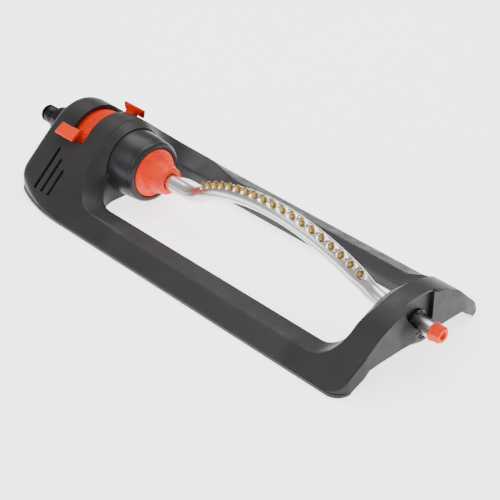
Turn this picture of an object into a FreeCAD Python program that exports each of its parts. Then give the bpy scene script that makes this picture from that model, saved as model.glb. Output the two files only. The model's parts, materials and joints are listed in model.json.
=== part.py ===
import FreeCAD, Part
import math
import os
import Sketcher

# Oscillating lawn sprinkler.  Millimetres, +Z up, +X from the hose end to the plug end.
# The origin lies on the ground, on the centre plane, midway along the base frame.

DIMENSIONS = [
    # name, value, meaning
    ("axis_height", 32.2, "tube axis above the ground"),
    ("base_half_width", 84.6, "half width over the base frame"),
    ("lip_height", 3.5, "upright lip round the foot of the base"),
    ("skin", 2.6, "wall thickness of the base moulding"),
    ("hood_rear_x", -207.0, "rear face of the motor hood"),
    ("hood_crest_rear_x", -196.0, "where the rear rounding of the hood starts"),
    ("hood_crest_front_x", -135.5, "where the front rounding of the hood starts"),
    ("hood_front_x", -127.0, "front wall of the motor hood"),
    ("hood_crest_radius", 35.8, "outer radius of the hood crest about the tube axis"),
    ("hood_rear_drop", 4.4, "how far the rear rounding brings the hood in"),
    ("hood_front_drop", 4.2, "how far the front rounding brings the hood in"),
    ("motor_flank_angle", 42.0, "slope of the hood flanks, degrees"),
    ("end_flank_angle", 44.0, "slope of the end arch flanks, degrees"),
    ("end_crest_height", 57.0, "top of the end arch above the ground"),
    ("end_crest_radius", 72.0, "radius of the end arch crest"),
    ("end_rear_x", 179.0, "rear wall of the end arch"),
    ("end_crest_x", 188.0, "where the rear rounding of the end arch ends"),
    ("end_web_x", 208.5, "front web of the end arch"),
    ("end_front_x", 214.2, "front edge of the end arch on the centre plane"),
    ("end_front_radius", 320.0, "plan radius of the front edge"),
    ("end_web_clear", 15.6, "gap under the front web"),
    ("rail_crease_y", 65.5, "crease of a side rail from the centre plane"),
    ("rail_crease_height", 12.1, "crease of a side rail above the ground"),
    ("window_half_width", 49.0, "half width of the open middle"),
    ("rail_inner_height", 12.4, "inner edge of a side rail above the ground"),
    ("motor_crease_radius", 31.0, "radius of the motor end crease, side view"),
    ("end_crease_radius", 24.5, "radius of the far end crease, side view"),
    ("window_corner_radius", 24.0, "rounding of the window corners"),
    ("slot_rear_x", -183.4, "rear side of the range ring slot"),
    ("slot_front_x", -157.8, "front side of the range ring slot"),
    ("slot_half_angle", 63.0, "half opening angle of the range ring slot"),
    ("barrel_radius", 31.2, "motor barrel outside radius"),
    ("barrel_rear_radius", 28.0, "motor housing radius under the range rings"),
    ("housing_rear_x", -195.0, "rear end of the motor housing"),
    ("housing_step_x", -158.1, "step of the motor housing"),
    ("jet_plate_x", -186.0, "rear face of the jet plate"),
    ("rear_plate_x", -173.5, "rear face of the rear gear plate"),
    ("output_gear_x", -163.0, "rear face of the output gear"),
    ("cap_joint_x", -104.0, "joint of the motor front cap"),
    ("cap_front_x", -98.4, "front face of the motor front cap"),
    ("ring_outer_radius", 31.0, "range ring outside radius"),
    ("ring_inner_radius", 28.3, "range ring inside radius"),
    ("ring_length", 12.0, "range ring length"),
    ("ring_pitch", 12.5, "distance between the two range rings"),
    ("ring_rear_x", -182.9, "rear face of the rear range ring"),
    ("shaft_radius", 8.0, "output shaft outside radius"),
    ("running_gap", 0.06, "radial clearance of the running fits"),
    ("tube_radius", 7.0, "spray tube outside radius"),
    ("tube_wall", 1.0, "spray tube wall"),
    ("tube_arc_radius", 156.5, "spray tube arch centreline radius"),
    ("tube_arc_x", 62.2, "middle of the spray tube arch"),
    ("tube_arc_drop", 116.3, "arch centre below the tube axis"),
    ("tube_bend_radius", 40.0, "end bends of the spray tube"),
    ("tube_start_x", -93.0, "tube end inside the collar"),
    ("tube_end_x", 223.0, "tube end at the plug"),
    ("tube_tilt", 14.5, "lean of the arch towards the near rail at rest, degrees"),
    ("nozzle_count", 19, "nozzles in the row"),
    ("nozzle_pitch_angle", 3.71, "angle between nozzles about the arch centre"),
    ("gear_module", 0.8, "gear module"),
    ("wheel_teeth", 20, "teeth of the two large gears"),
    ("pinion_teeth", 10, "teeth of the two pinions"),
    ("nipple_tip_x", -254.5, "rear end of the hose nipple"),
    ("nipple_radius", 8.4, "hose nipple barrel radius"),
    ("bush_radius", 12.0, "end bearing outside radius"),
    ("plug_flange_radius", 7.9, "end plug flange radius"),
]


class Quantity:
    """A number together with the spreadsheet expression that gives it."""

    def __init__(self, text, value):
        self.text = text
        self.value = float(value)

    def _join(self, sign, other, value):
        other_text = other.text if isinstance(other, Quantity) else repr(float(other))
        return Quantity("(%s %s %s)" % (self.text, sign, other_text), value)

    def __add__(self, other):
        return self._join("+", other, self.value + float(other))

    def __sub__(self, other):
        return self._join("-", other, self.value - float(other))

    def __mul__(self, other):
        return self._join("*", other, self.value * float(other))

    def __truediv__(self, other):
        return self._join("/", other, self.value / float(other))

    def __float__(self):
        return self.value


class Sizes:
    """The driving dimensions, read back from the spreadsheet by name."""

    def __init__(self, sheet):
        self.sheet = sheet

    def __getattr__(self, name):
        return Quantity("dims.%s" % name, self.sheet.get(name))


def constant(value):
    return Quantity(repr(float(value)), value)


def quantity(value):
    return value if isinstance(value, Quantity) else constant(value)


doc = FreeCAD.newDocument("sprinkler")
sheet = doc.addObject("Spreadsheet::Sheet", "dims")
sheet.Label = "dims"
for row, (name, value, meaning) in enumerate(DIMENSIONS, start=1):
    sheet.set("A%d" % row, meaning)
    sheet.set("B%d" % row, str(value))
    sheet.setAlias("B%d" % row, name)
doc.recompute()
S = Sizes(sheet)

parts = []


# ---------------------------------------------------------------- helpers

def keep(obj, label):
    """Register a finished sub-part under the name of its file."""
    obj.Label = label
    parts.append(obj)
    return obj


def place(obj, x=0, y=0, z=0, roll=None):
    """Bind a placement: a position, and a turn of roll degrees about X."""
    for path, value in (("x", x), ("y", y), ("z", z)):
        obj.setExpression("Placement.Base.%s" % path, quantity(value).text)
    if roll is not None:
        turned = quantity(roll)
        obj.Placement.Rotation = FreeCAD.Rotation(FreeCAD.Vector(1, 0, 0), 1.0)
        obj.setExpression("Placement.Rotation.Angle", turned.text)


def new_body(name, x=0, y=0, z=None, roll=None):
    body = doc.addObject("PartDesign::Body", name)
    place(body, x, y, S.axis_height if z is None else z, roll)
    return body


def origin_plane(body, role):
    for feature in body.Origin.OriginFeatures:
        if feature.Role == role:
            return feature
    raise ValueError("no plane " + role)


def new_sketch(body, name, role, offset=0):
    """A sketch on an origin plane of the body, moved along that plane's normal."""
    sketch = body.newObject("Sketcher::SketchObject", name)
    sketch.AttachmentSupport = [(origin_plane(body, role), "")]
    sketch.MapMode = "FlatFace"
    moved = quantity(offset)
    if moved.value or moved.text.startswith("("):
        sketch.AttachmentOffset = FreeCAD.Placement(FreeCAD.Vector(0, 0, moved.value), FreeCAD.Rotation())
        sketch.setExpression("AttachmentOffset.Base.z", moved.text)
    return sketch


def pin_point(sketch, geo, pos, u, v):
    """Fix one vertex of the sketch at the quantities u, v."""
    for kind, size, axis in (("DistanceX", u, -2), ("DistanceY", v, -1)):
        if abs(size.value) < 1e-9:
            sketch.addConstraint(Sketcher.Constraint("PointOnObject", geo, pos, axis))
        else:
            index = sketch.addConstraint(Sketcher.Constraint(kind, -1, 1, geo, pos, size.value))
            sketch.setExpression("Constraints[%d]" % index, size.text)


def outline(sketch, points):
    """A closed outline of straight lines through the given points."""
    corners = [(quantity(u), quantity(v)) for u, v in points]
    first = sketch.GeometryCount
    count = len(corners)
    for i, (u, v) in enumerate(corners):
        after_u, after_v = corners[(i + 1) % count]
        start = FreeCAD.Vector(u.value, v.value, 0)
        end = FreeCAD.Vector(after_u.value, after_v.value, 0)
        sketch.addGeometry(Part.LineSegment(start, end), False)
    for i in range(count):
        following = first + (i + 1) % count
        sketch.addConstraint(Sketcher.Constraint("Coincident", first + i, 2, following, 1))
    for i, (u, v) in enumerate(corners):
        pin_point(sketch, first + i, 1, u, v)


def circle(sketch, u, v, radius):
    """A circle about the point u, v."""
    u, v, radius = quantity(u), quantity(v), quantity(radius)
    centre = FreeCAD.Vector(u.value, v.value, 0)
    geo = sketch.addGeometry(Part.Circle(centre, FreeCAD.Vector(0, 0, 1), radius.value), False)
    pin_point(sketch, geo, 3, u, v)
    index = sketch.addConstraint(Sketcher.Constraint("Radius", geo, radius.value))
    sketch.setExpression("Constraints[%d]" % index, radius.text)


def turned(body, points, name="Turned", groove=False):
    """Turn an outline given as (along X, radius) points about the body's X axis."""
    sketch = new_sketch(body, name + "Sketch", "XY_Plane")
    outline(sketch, points)
    kind = "PartDesign::Groove" if groove else "PartDesign::Revolution"
    feature = body.newObject(kind, name)
    feature.Profile = sketch
    feature.ReferenceAxis = (sketch, ["H_Axis"])
    feature.Angle = 360.0
    return feature


def extruded(body, draw, start, length, name="Pad", cut=False):
    """Pad or pocket a YZ drawing from X = start over length in +X."""
    sketch = new_sketch(body, name + "Sketch", "YZ_Plane", start)
    draw(sketch)
    feature = body.newObject("PartDesign::Pocket" if cut else "PartDesign::Pad", name)
    feature.Profile = sketch
    feature.setExpression("Length", quantity(length).text)
    feature.Reversed = cut
    return feature


def repeat_about_axis(body, feature, count, name="Pattern"):
    """Repeat a feature evenly round the body's X axis."""
    pattern = body.newObject("PartDesign::PolarPattern", name)
    pattern.Originals = [feature]
    pattern.Axis = (feature.Profile[0], ["N_Axis"])
    pattern.Angle = 360.0
    pattern.setExpression("Occurrences", quantity(count).text)
    body.Tip = pattern
    return pattern


def part_feature(name, shape, x=0, y=0, z=0, roll=None):
    feature = doc.addObject("Part::Feature", name)
    feature.Shape = shape
    place(feature, x, y, z, roll)
    return feature


# ---------------------------------------------------------------- base frame

def hood_wire(x, inset, flank_angle, crest_radius, crest_height, bottom):
    """Closed YZ outline of a hood: upright lip, straight flanks and a round crest."""
    half = S.base_half_width.value - inset
    slope = math.radians(flank_angle)
    radius = crest_radius - inset
    centre = crest_height - crest_radius
    touch_y = radius * math.sin(slope)
    touch_z = centre + radius * math.cos(slope)
    foot_z = touch_z - (half - touch_y) * math.tan(slope)
    left = [(-half, bottom), (-half, foot_z), (-touch_y, touch_z)]
    right = [(-y, z) for y, z in reversed(left)]
    to_vector = lambda yz: FreeCAD.Vector(x, yz[0], yz[1])
    crest = Part.Arc(to_vector(left[-1]), FreeCAD.Vector(x, 0, centre + radius), to_vector(right[0]))
    edges = [Part.makeLine(to_vector(a), to_vector(b)) for a, b in zip(left[:-1], left[1:])]
    edges.append(crest.toShape())
    edges += [Part.makeLine(to_vector(a), to_vector(b)) for a, b in zip(right[:-1], right[1:])]
    edges.append(Part.makeLine(to_vector(right[-1]), to_vector(left[0])))
    return Part.Wire(edges)


def motor_hood(inset, bottom):
    """Motor hood as a solid; inset gives the hollow inside it."""
    radius = S.hood_crest_radius.value
    stations = [
        (S.hood_rear_x.value + inset, S.hood_rear_drop.value),
        (S.hood_rear_x.value * 0.5 + S.hood_crest_rear_x.value * 0.5, S.hood_rear_drop.value * 0.25),
        (S.hood_crest_rear_x.value, 0.0),
        (S.hood_crest_front_x.value, 0.0),
        (S.hood_front_x.value - inset, S.hood_front_drop.value),
    ]
    angle = S.motor_flank_angle.value
    top = S.axis_height.value + radius
    wires = [hood_wire(x, drop + inset, angle, radius, top, bottom) for x, drop in stations]
    return Part.makeLoft(wires, True, True)


def end_arch(inset, bottom):
    """End arch as a solid up to its front edge; inset gives the hollow inside it."""
    radius = S.end_crest_radius.value
    stations = [
        (S.end_rear_x.value + inset, S.hood_front_drop.value),
        (S.end_crest_x.value, 0.0),
        (S.end_front_x.value + 1.0, 0.0),
    ]
    angle = S.end_flank_angle.value
    top = S.end_crest_height.value
    wires = [hood_wire(x, drop + inset, angle, radius, top, bottom) for x, drop in stations]
    return Part.makeLoft(wires, True, True)


def smooth(t):
    t = min(max(t, 0.0), 1.0)
    return t * t * (3.0 - 2.0 * t)


def arc_height(distance, radius, base):
    """Height of a quarter-round rise that starts at distance 0 and is upright at radius."""
    reach = min(max(distance, 0.0), radius * 0.999)
    return base + radius - math.sqrt(radius * radius - reach * reach)


def rail_points(x):
    """Crease and inner edge of a side rail at x, as (distance from the centre plane, height)."""
    half = S.base_half_width.value
    lip = S.lip_height.value
    corner = S.window_corner_radius.value
    ends = [
        (S.hood_front_x.value + 22.0 - x, S.motor_flank_angle.value, S.motor_crease_radius.value,
         S.hood_front_x.value + corner - x),
        (x - S.end_rear_x.value + 18.0, S.end_flank_angle.value, S.end_crease_radius.value,
         x - S.end_rear_x.value + corner),
    ]
    crease_y, crease_z = S.rail_crease_y.value, S.rail_crease_height.value
    inner_y, inner_z = S.window_half_width.value, S.rail_inner_height.value
    for rise, flank_angle, radius, turn in ends:
        if rise > -45.0:
            high = arc_height(rise, radius, 17.2)
            on_flank = half - (high - lip) / math.tan(math.radians(flank_angle))
            share = smooth((rise + 45.0) / 45.0)
            crease_y += (on_flank - crease_y) * share
            crease_z += (high - crease_z) * share
        if turn > 0.0:
            inner_z = arc_height(turn, corner, S.rail_inner_height.value)
            inner_y = S.window_half_width.value + S.rail_inner_height.value - inner_z
    return (crease_y, crease_z), (inner_y, inner_z)


def rail_wire(x, inset, bottom, look_ahead):
    """Closed YZ outline of a side rail at x, set in by inset for the hollow under it."""
    half = S.base_half_width.value - inset
    (crease_y, crease_z), (inner_y, inner_z) = rail_points(x + look_ahead)
    drop = inset * 1.15
    points = [
        (half, bottom),
        (half, S.lip_height.value - drop * 0.6),
        (crease_y, crease_z - drop),
        (inner_y + inset, inner_z - drop),
        (inner_y + inset, bottom),
    ]
    vectors = [FreeCAD.Vector(x, -y, z) for y, z in points]
    return Part.makePolygon(vectors + [vectors[0]])


def rail(inset, bottom):
    """One side rail with the sweep up into both hoods."""
    front = S.hood_front_x.value
    rear = S.end_rear_x.value
    motor_side = [front + step for step in (-6.5, -3, 1, 5, 10, 15, 22, 38)]
    middle = [front + 66, rear - 62]
    far_side = [rear - 36, rear - 20, rear - 13, rear - 7, rear - 2, rear + 2, rear + 5.5]
    solids = []
    pieces = ((motor_side + middle[:1], inset), (middle, 0.0), (middle[1:] + far_side, -inset))
    for stations, ahead in pieces:
        wires = [rail_wire(x, inset, bottom, ahead) for x in stations]
        solids.append(Part.makeLoft(wires, True, True))
    return solids


def plan_limit(inset):
    """Prism with the rounded plan outline of the base, set in by inset."""
    half = S.base_half_width.value
    rear = S.hood_rear_x.value
    front = S.end_front_x.value
    corner_x = front - 74.6 * 74.6 / (2.0 * S.end_front_radius.value)
    point = lambda x, y: FreeCAD.Vector(x, y, -20.0)
    edges = []
    for side in (-1, 1):
        edges += [
            Part.Arc(point(rear + 70, side * half), point(rear + 37.4, side * (half - 3.4)),
                     point(rear + 7.2, side * (half - 13.1))).toShape(),
            Part.Arc(point(rear + 7.2, side * (half - 13.1)), point(rear + 2.5, side * (half - 17.1)),
                     point(rear, side * (half - 24.1))).toShape(),
            Part.makeLine(point(rear + 70, side * half), point(front - 21.4, side * half)),
            Part.Arc(point(front - 21.4, side * half), point(front - 12.4, side * (half - 3.6)),
                     point(corner_x, side * 74.6)).toShape(),
        ]
    edges.append(Part.makeLine(point(rear, half - 24.1), point(rear, 24.1 - half)))
    edges.append(Part.Arc(point(corner_x, 74.6), point(front, 0.0), point(corner_x, -74.6)).toShape())
    face = Part.Face(Part.Wire(Part.__sortEdges__(edges)))
    if inset:
        face = face.makeOffset2D(-inset)
    return face.extrude(FreeCAD.Vector(0, 0, 120.0))


def mirrored(shape):
    return shape.mirror(FreeCAD.Vector(0, 0, 0), FreeCAD.Vector(0, 1, 0))


def box_between(x0, x1, y0, y1, z0, z1):
    return Part.makeBox(x1 - x0, y1 - y0, z1 - z0, FreeCAD.Vector(x0, y0, z0))


def axis_cylinder(x0, x1, radius):
    start = FreeCAD.Vector(x0, 0, S.axis_height.value)
    return Part.makeCylinder(radius, x1 - x0, start, FreeCAD.Vector(1, 0, 0))


def frame_blank(inset, bottom):
    rails = rail(inset, bottom)
    both = rails + [mirrored(solid) for solid in rails]
    return motor_hood(inset, bottom).fuse(both + [end_arch(inset, bottom)]).removeSplitter()


def web_plate():
    """Front web of the end arch with its alcove and the cradle for the end bearing."""
    skin = S.skin.value
    web = S.end_web_x.value
    axis = S.axis_height.value
    hollow = end_arch(skin * 0.5, 0.0)
    plate = hollow.common(box_between(web - skin, web, -90, 90, 0, 80))
    alcove_back = web - 4.0
    alcove_block = box_between(alcove_back - skin, web, -19, 19, S.end_web_clear.value, 80)
    plate = plate.fuse(hollow.common(alcove_block))
    plate = plate.cut(box_between(alcove_back, web + 10, -16.4, 16.4, 17.5, 90))
    cradle = axis_cylinder(alcove_back - 7.0, web + 7.0, 15.0)
    cradle = cradle.cut(box_between(web - 1.0, web + 10, -20, 20, axis - 2.0, 80))
    return plate.fuse(cradle)


def web_gap():
    """The gap below the front web, between the two corner feet."""
    clear = S.end_web_clear.value
    half_outline = [(72, -5), (72, 0), (54, clear - 0.6), (40, clear)]
    points = half_outline + [(-y, z) for y, z in reversed(half_outline)]
    rear = S.end_web_x.value - 10.0
    vectors = [FreeCAD.Vector(rear, y, z) for y, z in points]
    gap = Part.Face(Part.makePolygon(vectors + [vectors[0]])).extrude(FreeCAD.Vector(30, 0, 0))
    return gap.cut(axis_cylinder(rear - 2, rear + 32, 15.0))


def arch_door():
    """Opening in the rear wall of the end arch that the spray tube passes through."""
    x = S.end_rear_x.value - 4.0
    corners = ((0, 12), (-25, 36.4), (0, 52.6), (25, 36.4))
    low, side, high, other = [FreeCAD.Vector(x, y, z) for y, z in corners]
    wire = Part.Wire([Part.Arc(side, high, other).toShape(), Part.Arc(other, low, side).toShape()])
    return Part.Face(wire).extrude(FreeCAD.Vector(12.0, 0, 0))


def base_frame(latch):
    """The moulded base: motor hood, two rails and the end arch as one shell."""
    skin = S.skin.value
    limit = plan_limit(0)
    shell = frame_blank(0.0, -3.0).common(limit)
    shell = shell.cut(frame_blank(skin, -5.0).common(plan_limit(skin)))
    web = S.end_web_x.value
    shell = shell.cut(end_arch(skin, -10.0).common(box_between(web, web + 30, -66, 66, -5, 90)))
    shell = shell.cut(arch_door())
    shell = shell.fuse(web_plate().common(limit)).cut(web_gap())
    shell = shell.cut(axis_cylinder(web - 20, web + 20, S.bush_radius.value))
    shell = shell.cut(box_between(web - 0.5, web + 12, -16.4, 16.4, 20, 90))
    front = S.hood_front_x.value
    shell = shell.cut(axis_cylinder(front - 20, front + 20, S.barrel_radius.value))
    back = S.hood_rear_x.value
    shell = shell.cut(axis_cylinder(back - 5, back + 12, 13.2))
    shell = shell.cut(ring_slot())
    for cutter in drain_slots():
        shell = shell.cut(cutter)
    shell = shell.cut(latch.Shape)
    below_ground = box_between(back - 10, web + 30, -100, 100, -30, 0)
    shell = shell.cut(below_ground)
    return keep(part_feature("base_frame", shell.removeSplitter()), "base_frame")


def ring_slot():
    """Sector over the crest of the hood where the range rings show."""
    reach = 60.0
    half = math.radians(S.slot_half_angle.value)
    axis = S.axis_height.value
    x0 = S.slot_rear_x.value
    corners = [
        FreeCAD.Vector(x0, 0, axis),
        FreeCAD.Vector(x0, -reach * math.sin(half), axis + reach * math.cos(half)),
        FreeCAD.Vector(x0, -reach, axis + reach),
        FreeCAD.Vector(x0, reach, axis + reach),
        FreeCAD.Vector(x0, reach * math.sin(half), axis + reach * math.cos(half)),
    ]
    face = Part.Face(Part.makePolygon(corners + [corners[0]]))
    return face.extrude(FreeCAD.Vector(S.slot_front_x.value - x0, 0, 0))


def drain_slots():
    """Three slots that run down the near flank, each shorter than the last."""
    slope = math.radians(S.motor_flank_angle.value)
    half = S.base_half_width.value
    cutters = []
    for index in range(3):
        x = S.slot_rear_x.value + 4.2 + 9.5 * index
        top_y = 43.4 + 6.0 * index
        length = (73.2 - top_y) / math.cos(slope)
        slot = Part.makeBox(2.2, length, 12.0, FreeCAD.Vector(-1.1, 0, -6.0))
        slot.rotate(FreeCAD.Vector(0, 0, 0), FreeCAD.Vector(1, 0, 0), S.motor_flank_angle.value)
        foot_z = S.lip_height.value + (half - 73.2) * math.tan(slope)
        slot.translate(FreeCAD.Vector(x, -73.2, foot_z))
        cutters.append(slot)
    return cutters


# ---------------------------------------------------------------- motor

def screw_reach():
    """Offset of the cover screws from the axis, the same sideways and up."""
    return (S.barrel_rear_radius - 4.3) * 0.7071


def motor_housing():
    """Turned housing: barrel in front, step and slimmer seat for the range rings behind."""
    body = new_body("motor_housing", S.housing_rear_x)
    step = S.housing_step_x - S.housing_rear_x
    front = S.cap_joint_x - S.housing_rear_x
    seat = S.barrel_rear_radius
    turned(body, [
        (0, seat), (step, seat), (step, S.barrel_radius), (front, S.barrel_radius),
        (front, S.barrel_radius - 2.2), (step + 2.5, S.barrel_radius - 2.2),
        (step + 2.5, seat - 2), (0, seat - 2),
    ])
    reach = screw_reach()
    boss = extruded(body, lambda sketch: circle(sketch, reach, reach, 2.6), 0, 9, "Boss")
    repeat_about_axis(body, boss, 4, "Bosses")
    hole = extruded(body, lambda sketch: circle(sketch, reach, reach, 1.1), 0, 8, "BossHole", cut=True)
    repeat_about_axis(body, hole, 4, "BossHoles")
    return keep(body, "motor_housing")


def motor_cap():
    """Front cap with a rounded rim, a recess for the collar flange and the shaft bore."""
    body = new_body("motor_cap", S.cap_joint_x)
    depth = S.cap_front_x - S.cap_joint_x
    rim = S.barrel_radius
    bore = S.shaft_radius + S.running_gap
    cap = turned(body, [
        (0, rim), (depth, rim), (depth, 23.4), (depth - 2.8, 23.4),
        (depth - 2.8, bore), (-3, bore), (-3, bore + 3), (0, bore + 3),
        (0, rim - 4.0), (-3.5, rim - 4.0), (-3.5, rim - 2.2), (0, rim - 2.2),
    ])
    doc.recompute()
    fillet = body.newObject("PartDesign::Fillet", "RimFillet")
    fillet.Base = (cap, [rim_edge(cap, depth.value, rim.value)])
    fillet.Radius = 4.2
    return keep(body, "motor_cap")


def rim_edge(feature, x, radius):
    """Name of the circular edge of a turned feature at this place along its axis."""
    for index, edge in enumerate(feature.Shape.Edges, start=1):
        curve = edge.Curve
        round_edge = isinstance(curve, Part.Circle) and abs(curve.Radius - radius) < 1e-4
        if round_edge and abs(curve.Center.x - x) < 1e-4:
            return "Edge%d" % index
    raise ValueError("no rim edge")


def range_ring(label, x, row_from_tab, roll):
    """A knurled range ring with its leaning hollow tab; row_from_tab is the tab's rear end."""
    body = new_body(label, x, 0, None, roll)
    outer = S.ring_outer_radius
    groove_count = 96
    turned(body, [
        (0, S.ring_inner_radius), (0, outer), (S.ring_length, outer), (S.ring_length, S.ring_inner_radius),
    ])
    knurl = extruded(body, lambda sketch: outline(sketch, [
        (-0.45, outer + 0.5), (0.45, outer + 0.5), (0.0, outer - 0.6)]),
        0.8, S.ring_length - 1.6, "Knurl", cut=True)
    repeat_about_axis(body, knurl, groove_count, "Knurls")
    root = 38.0
    extruded(body, lambda sketch: outline(sketch, [
        (0.6, outer - 1.5), (5.4, outer - 1.8), (6.0, root), (0.6, root)]),
        0.2, S.ring_length - 0.4, "Stem")
    extruded(body, lambda sketch: outline(sketch, [
        (6.0, root - 0.2), (0.6, root - 0.2), (-5.6, root + 5.2), (-4.8, root + 6.2)]),
        row_from_tab, 23.5, "Wing")
    extruded(body, lambda sketch: outline(sketch, [
        (3.9, root + 0.3), (1.1, root + 0.4), (-3.4, root + 4.4)]),
        quantity(row_from_tab) + 10.0, 14, "WingHollow", cut=True)
    return keep(body, label)


def rear_cover():
    """Cover over the rear of the housing, with the inlet bore and four screw holes."""
    body = new_body("rear_cover", S.housing_rear_x)
    seat = S.barrel_rear_radius
    turned(body, [(-3, 9.5), (-3, seat + 2), (11, seat + 2), (11, seat), (0, seat), (0, 9.5)])
    reach = screw_reach()
    hole = extruded(body, lambda sketch: circle(sketch, reach, reach, 1.4), -4, 5, "ScrewHole", cut=True)
    repeat_about_axis(body, hole, 4, "ScrewHoles")
    return keep(body, "rear_cover")


def cover_screws():
    """Four identical pan head screws through the rear cover into the housing bosses."""
    head = Part.makeCylinder(2.3, 1.6, FreeCAD.Vector(-4.6, 0, 0), FreeCAD.Vector(1, 0, 0))
    shank = Part.makeCylinder(1.1, 10.0, FreeCAD.Vector(-3.0, 0, 0), FreeCAD.Vector(1, 0, 0))
    slot_a = Part.makeBox(0.9, 2.6, 0.6, FreeCAD.Vector(-4.7, -1.3, -0.3))
    slot_b = Part.makeBox(0.9, 0.6, 2.6, FreeCAD.Vector(-4.7, -0.3, -1.3))
    screw = head.fuse(shank).cut(slot_a).cut(slot_b)
    reach = screw_reach().value
    copies = []
    for index in range(4):
        copy = screw.copy()
        copy.translate(FreeCAD.Vector(0, reach, reach))
        copy.rotate(FreeCAD.Vector(0, 0, 0), FreeCAD.Vector(1, 0, 0), 90.0 * index)
        copies.append(copy)
    screws = part_feature("cover_screws", Part.makeCompound(copies), S.housing_rear_x, 0, S.axis_height)
    return keep(screws, "cover_screws")


def hose_connector():
    """Hose nipple: grooved barrel, neck, collar in the hood's rear hole and a spigot into the cover."""
    body = new_body("hose_connector", S.nipple_tip_x)
    tip = S.nipple_radius
    inside = S.housing_rear_x - S.nipple_tip_x
    collar = S.hood_rear_x - S.nipple_tip_x
    turned(body, [
        (0, 5.2), (0, tip - 1.2), (1.2, tip), (2.6, tip), (2.6, tip - 1.5), (4.8, tip - 1.5), (4.8, tip),
        (11.5, tip), (13.0, tip - 1.4), (16.5, tip - 1.4), (17.5, tip + 1.6), (20.0, 12.9),
        (collar + 3.4, 12.9), (collar + 3.4, 14.6), (inside - 3, 14.6), (inside - 3, 9.4),
        (inside + 3, 9.4),
        (inside + 3, 7.6), (inside + 2, 7.6), (inside + 2, 5.2),
    ])
    rib = extruded(body, lambda sketch: outline(sketch, [
        (-1.2, 12.2), (1.2, 12.2), (1.0, 13.1), (-1.0, 13.1)]), 21.0, collar - 21.3, "Grip")
    repeat_about_axis(body, rib, 12, "Grips")
    return keep(body, "hose_connector")


def turned_part(label, points, x, y=0, z=None, roll=None):
    body = new_body(label, x, y, z, roll)
    turned(body, points)
    return keep(body, label)


def ring_part(label, x, length, inner, outer):
    return turned_part(label, [(0, inner), (0, outer), (length, outer), (length, inner)], x)


def housing_latch():
    """Small dark latch button that stands out of the rounding at the top rear of the hood."""
    body = new_body("housing_latch", S.hood_rear_x + 1.5, 0, None, 13.0)
    extruded(body, lambda sketch: outline(sketch, [
        (-2.4, 28.5), (2.4, 28.5), (1.9, 34.8), (-1.9, 34.8)]), 0, 4.5, "Button")
    return keep(body, "housing_latch")


def gear(body, start, length, teeth, name):
    """Straight toothed gear on the body's X axis, its first gap centred on local +Z."""
    module = S.gear_module
    pitch_radius = teeth * module / 2.0
    tip = pitch_radius + module * 0.72
    root = pitch_radius - module * 1.1
    gap_tip = module * 2.6
    gap_root = module * 1.2
    extruded(body, lambda sketch: circle(sketch, 0, 0, tip), start, length, name)
    space = extruded(body, lambda sketch: outline(sketch, [
        (gap_root / -2.0, root), (gap_root / 2.0, root),
        (gap_tip / 2.0, tip + 0.2), (gap_tip / -2.0, tip + 0.2)]),
        start, length, name + "Gap", cut=True)
    repeat_about_axis(body, space, teeth, name + "Teeth")
    return body


def bore_through(body, start, length, radius, name="Bore"):
    return extruded(body, lambda sketch: circle(sketch, 0, 0, radius), start, length, name, cut=True)


def mesh_distance():
    return (S.wheel_teeth + S.pinion_teeth) * S.gear_module / 2.0


def turbine_wheel():
    """Turbine wheel with twelve straight blades on a hub."""
    body = new_body("turbine_wheel", S.jet_plate_x + 3.0)
    turned(body, [(0, 1.5), (0, 4.0), (3.5, 4.0), (3.5, 12.5), (4.5, 12.5), (4.5, 4.0), (8, 4.0), (8, 1.5)])
    blade = extruded(body, lambda sketch: outline(sketch, [
        (-0.4, 3.6), (0.4, 3.6), (0.4, 14.0), (-0.4, 14.0)]), 0, 8, "Blade")
    repeat_about_axis(body, blade, 12, "Blades")
    return keep(body, "turbine_wheel")


def turbine_shaft():
    """Shaft of the turbine wheel with its pinion."""
    start = S.jet_plate_x - 1.0
    body = new_body("turbine_shaft", start, 0, None, constant(180.0) / S.pinion_teeth)
    pinion = S.output_gear_x - start - 7.0
    turned(body, [(0, 0), (0, 1.5), (pinion + 6.0, 1.5), (pinion + 6.0, 0)])
    gear(body, pinion, 6.0, S.pinion_teeth, "Pinion")
    return keep(body, "turbine_shaft")


def layshaft_gear():
    """Large gear and pinion in one piece, running on the fixed axle."""
    body = new_body("layshaft_gear", S.output_gear_x - 7.0, 0, S.axis_height - mesh_distance())
    gear(body, 0.0, 6.0, S.wheel_teeth, "Wheel")
    gear(body, 6.0, 7.4, S.pinion_teeth, "Pinion")
    bore_through(body, 0.0, 13.4, S.running_gap + 1.5)
    return keep(body, "layshaft_gear")


def output_gear():
    """Gear on the output shaft."""
    body = new_body("output_gear", S.output_gear_x, 0, None, constant(180.0) / S.wheel_teeth)
    gear(body, 0.0, 6.0, S.wheel_teeth, "Wheel")
    bore_through(body, 0.0, 6.0, 4.0)
    return keep(body, "output_gear")


def output_shaft():
    """Hollow output shaft from the gear to the tube collar."""
    gear_end = 7.0
    start = S.output_gear_x
    length = S.cap_front_x - 2.4 - start
    body = new_body("output_shaft", start)
    turned(body, [
        (0, 2.0), (0, 4.0), (gear_end, 4.0), (gear_end, S.shaft_radius),
        (length, S.shaft_radius), (length, 5.5),
        (gear_end + 4, 5.5), (gear_end + 4, 2.0),
    ])
    return keep(body, "output_shaft")


def trip_arm():
    """Arm clamped on the output shaft that trips the reversing flap."""
    body = new_body("trip_arm", -146.0)
    extruded(body, lambda sketch: outline(sketch, [
        (-11, -11), (11, -11), (11, 6), (3.0, 21), (-3.0, 21), (-11, 6)]), 0, 4, "Arm")
    bore_through(body, 0, 4, S.shaft_radius)
    return keep(body, "trip_arm")


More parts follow.
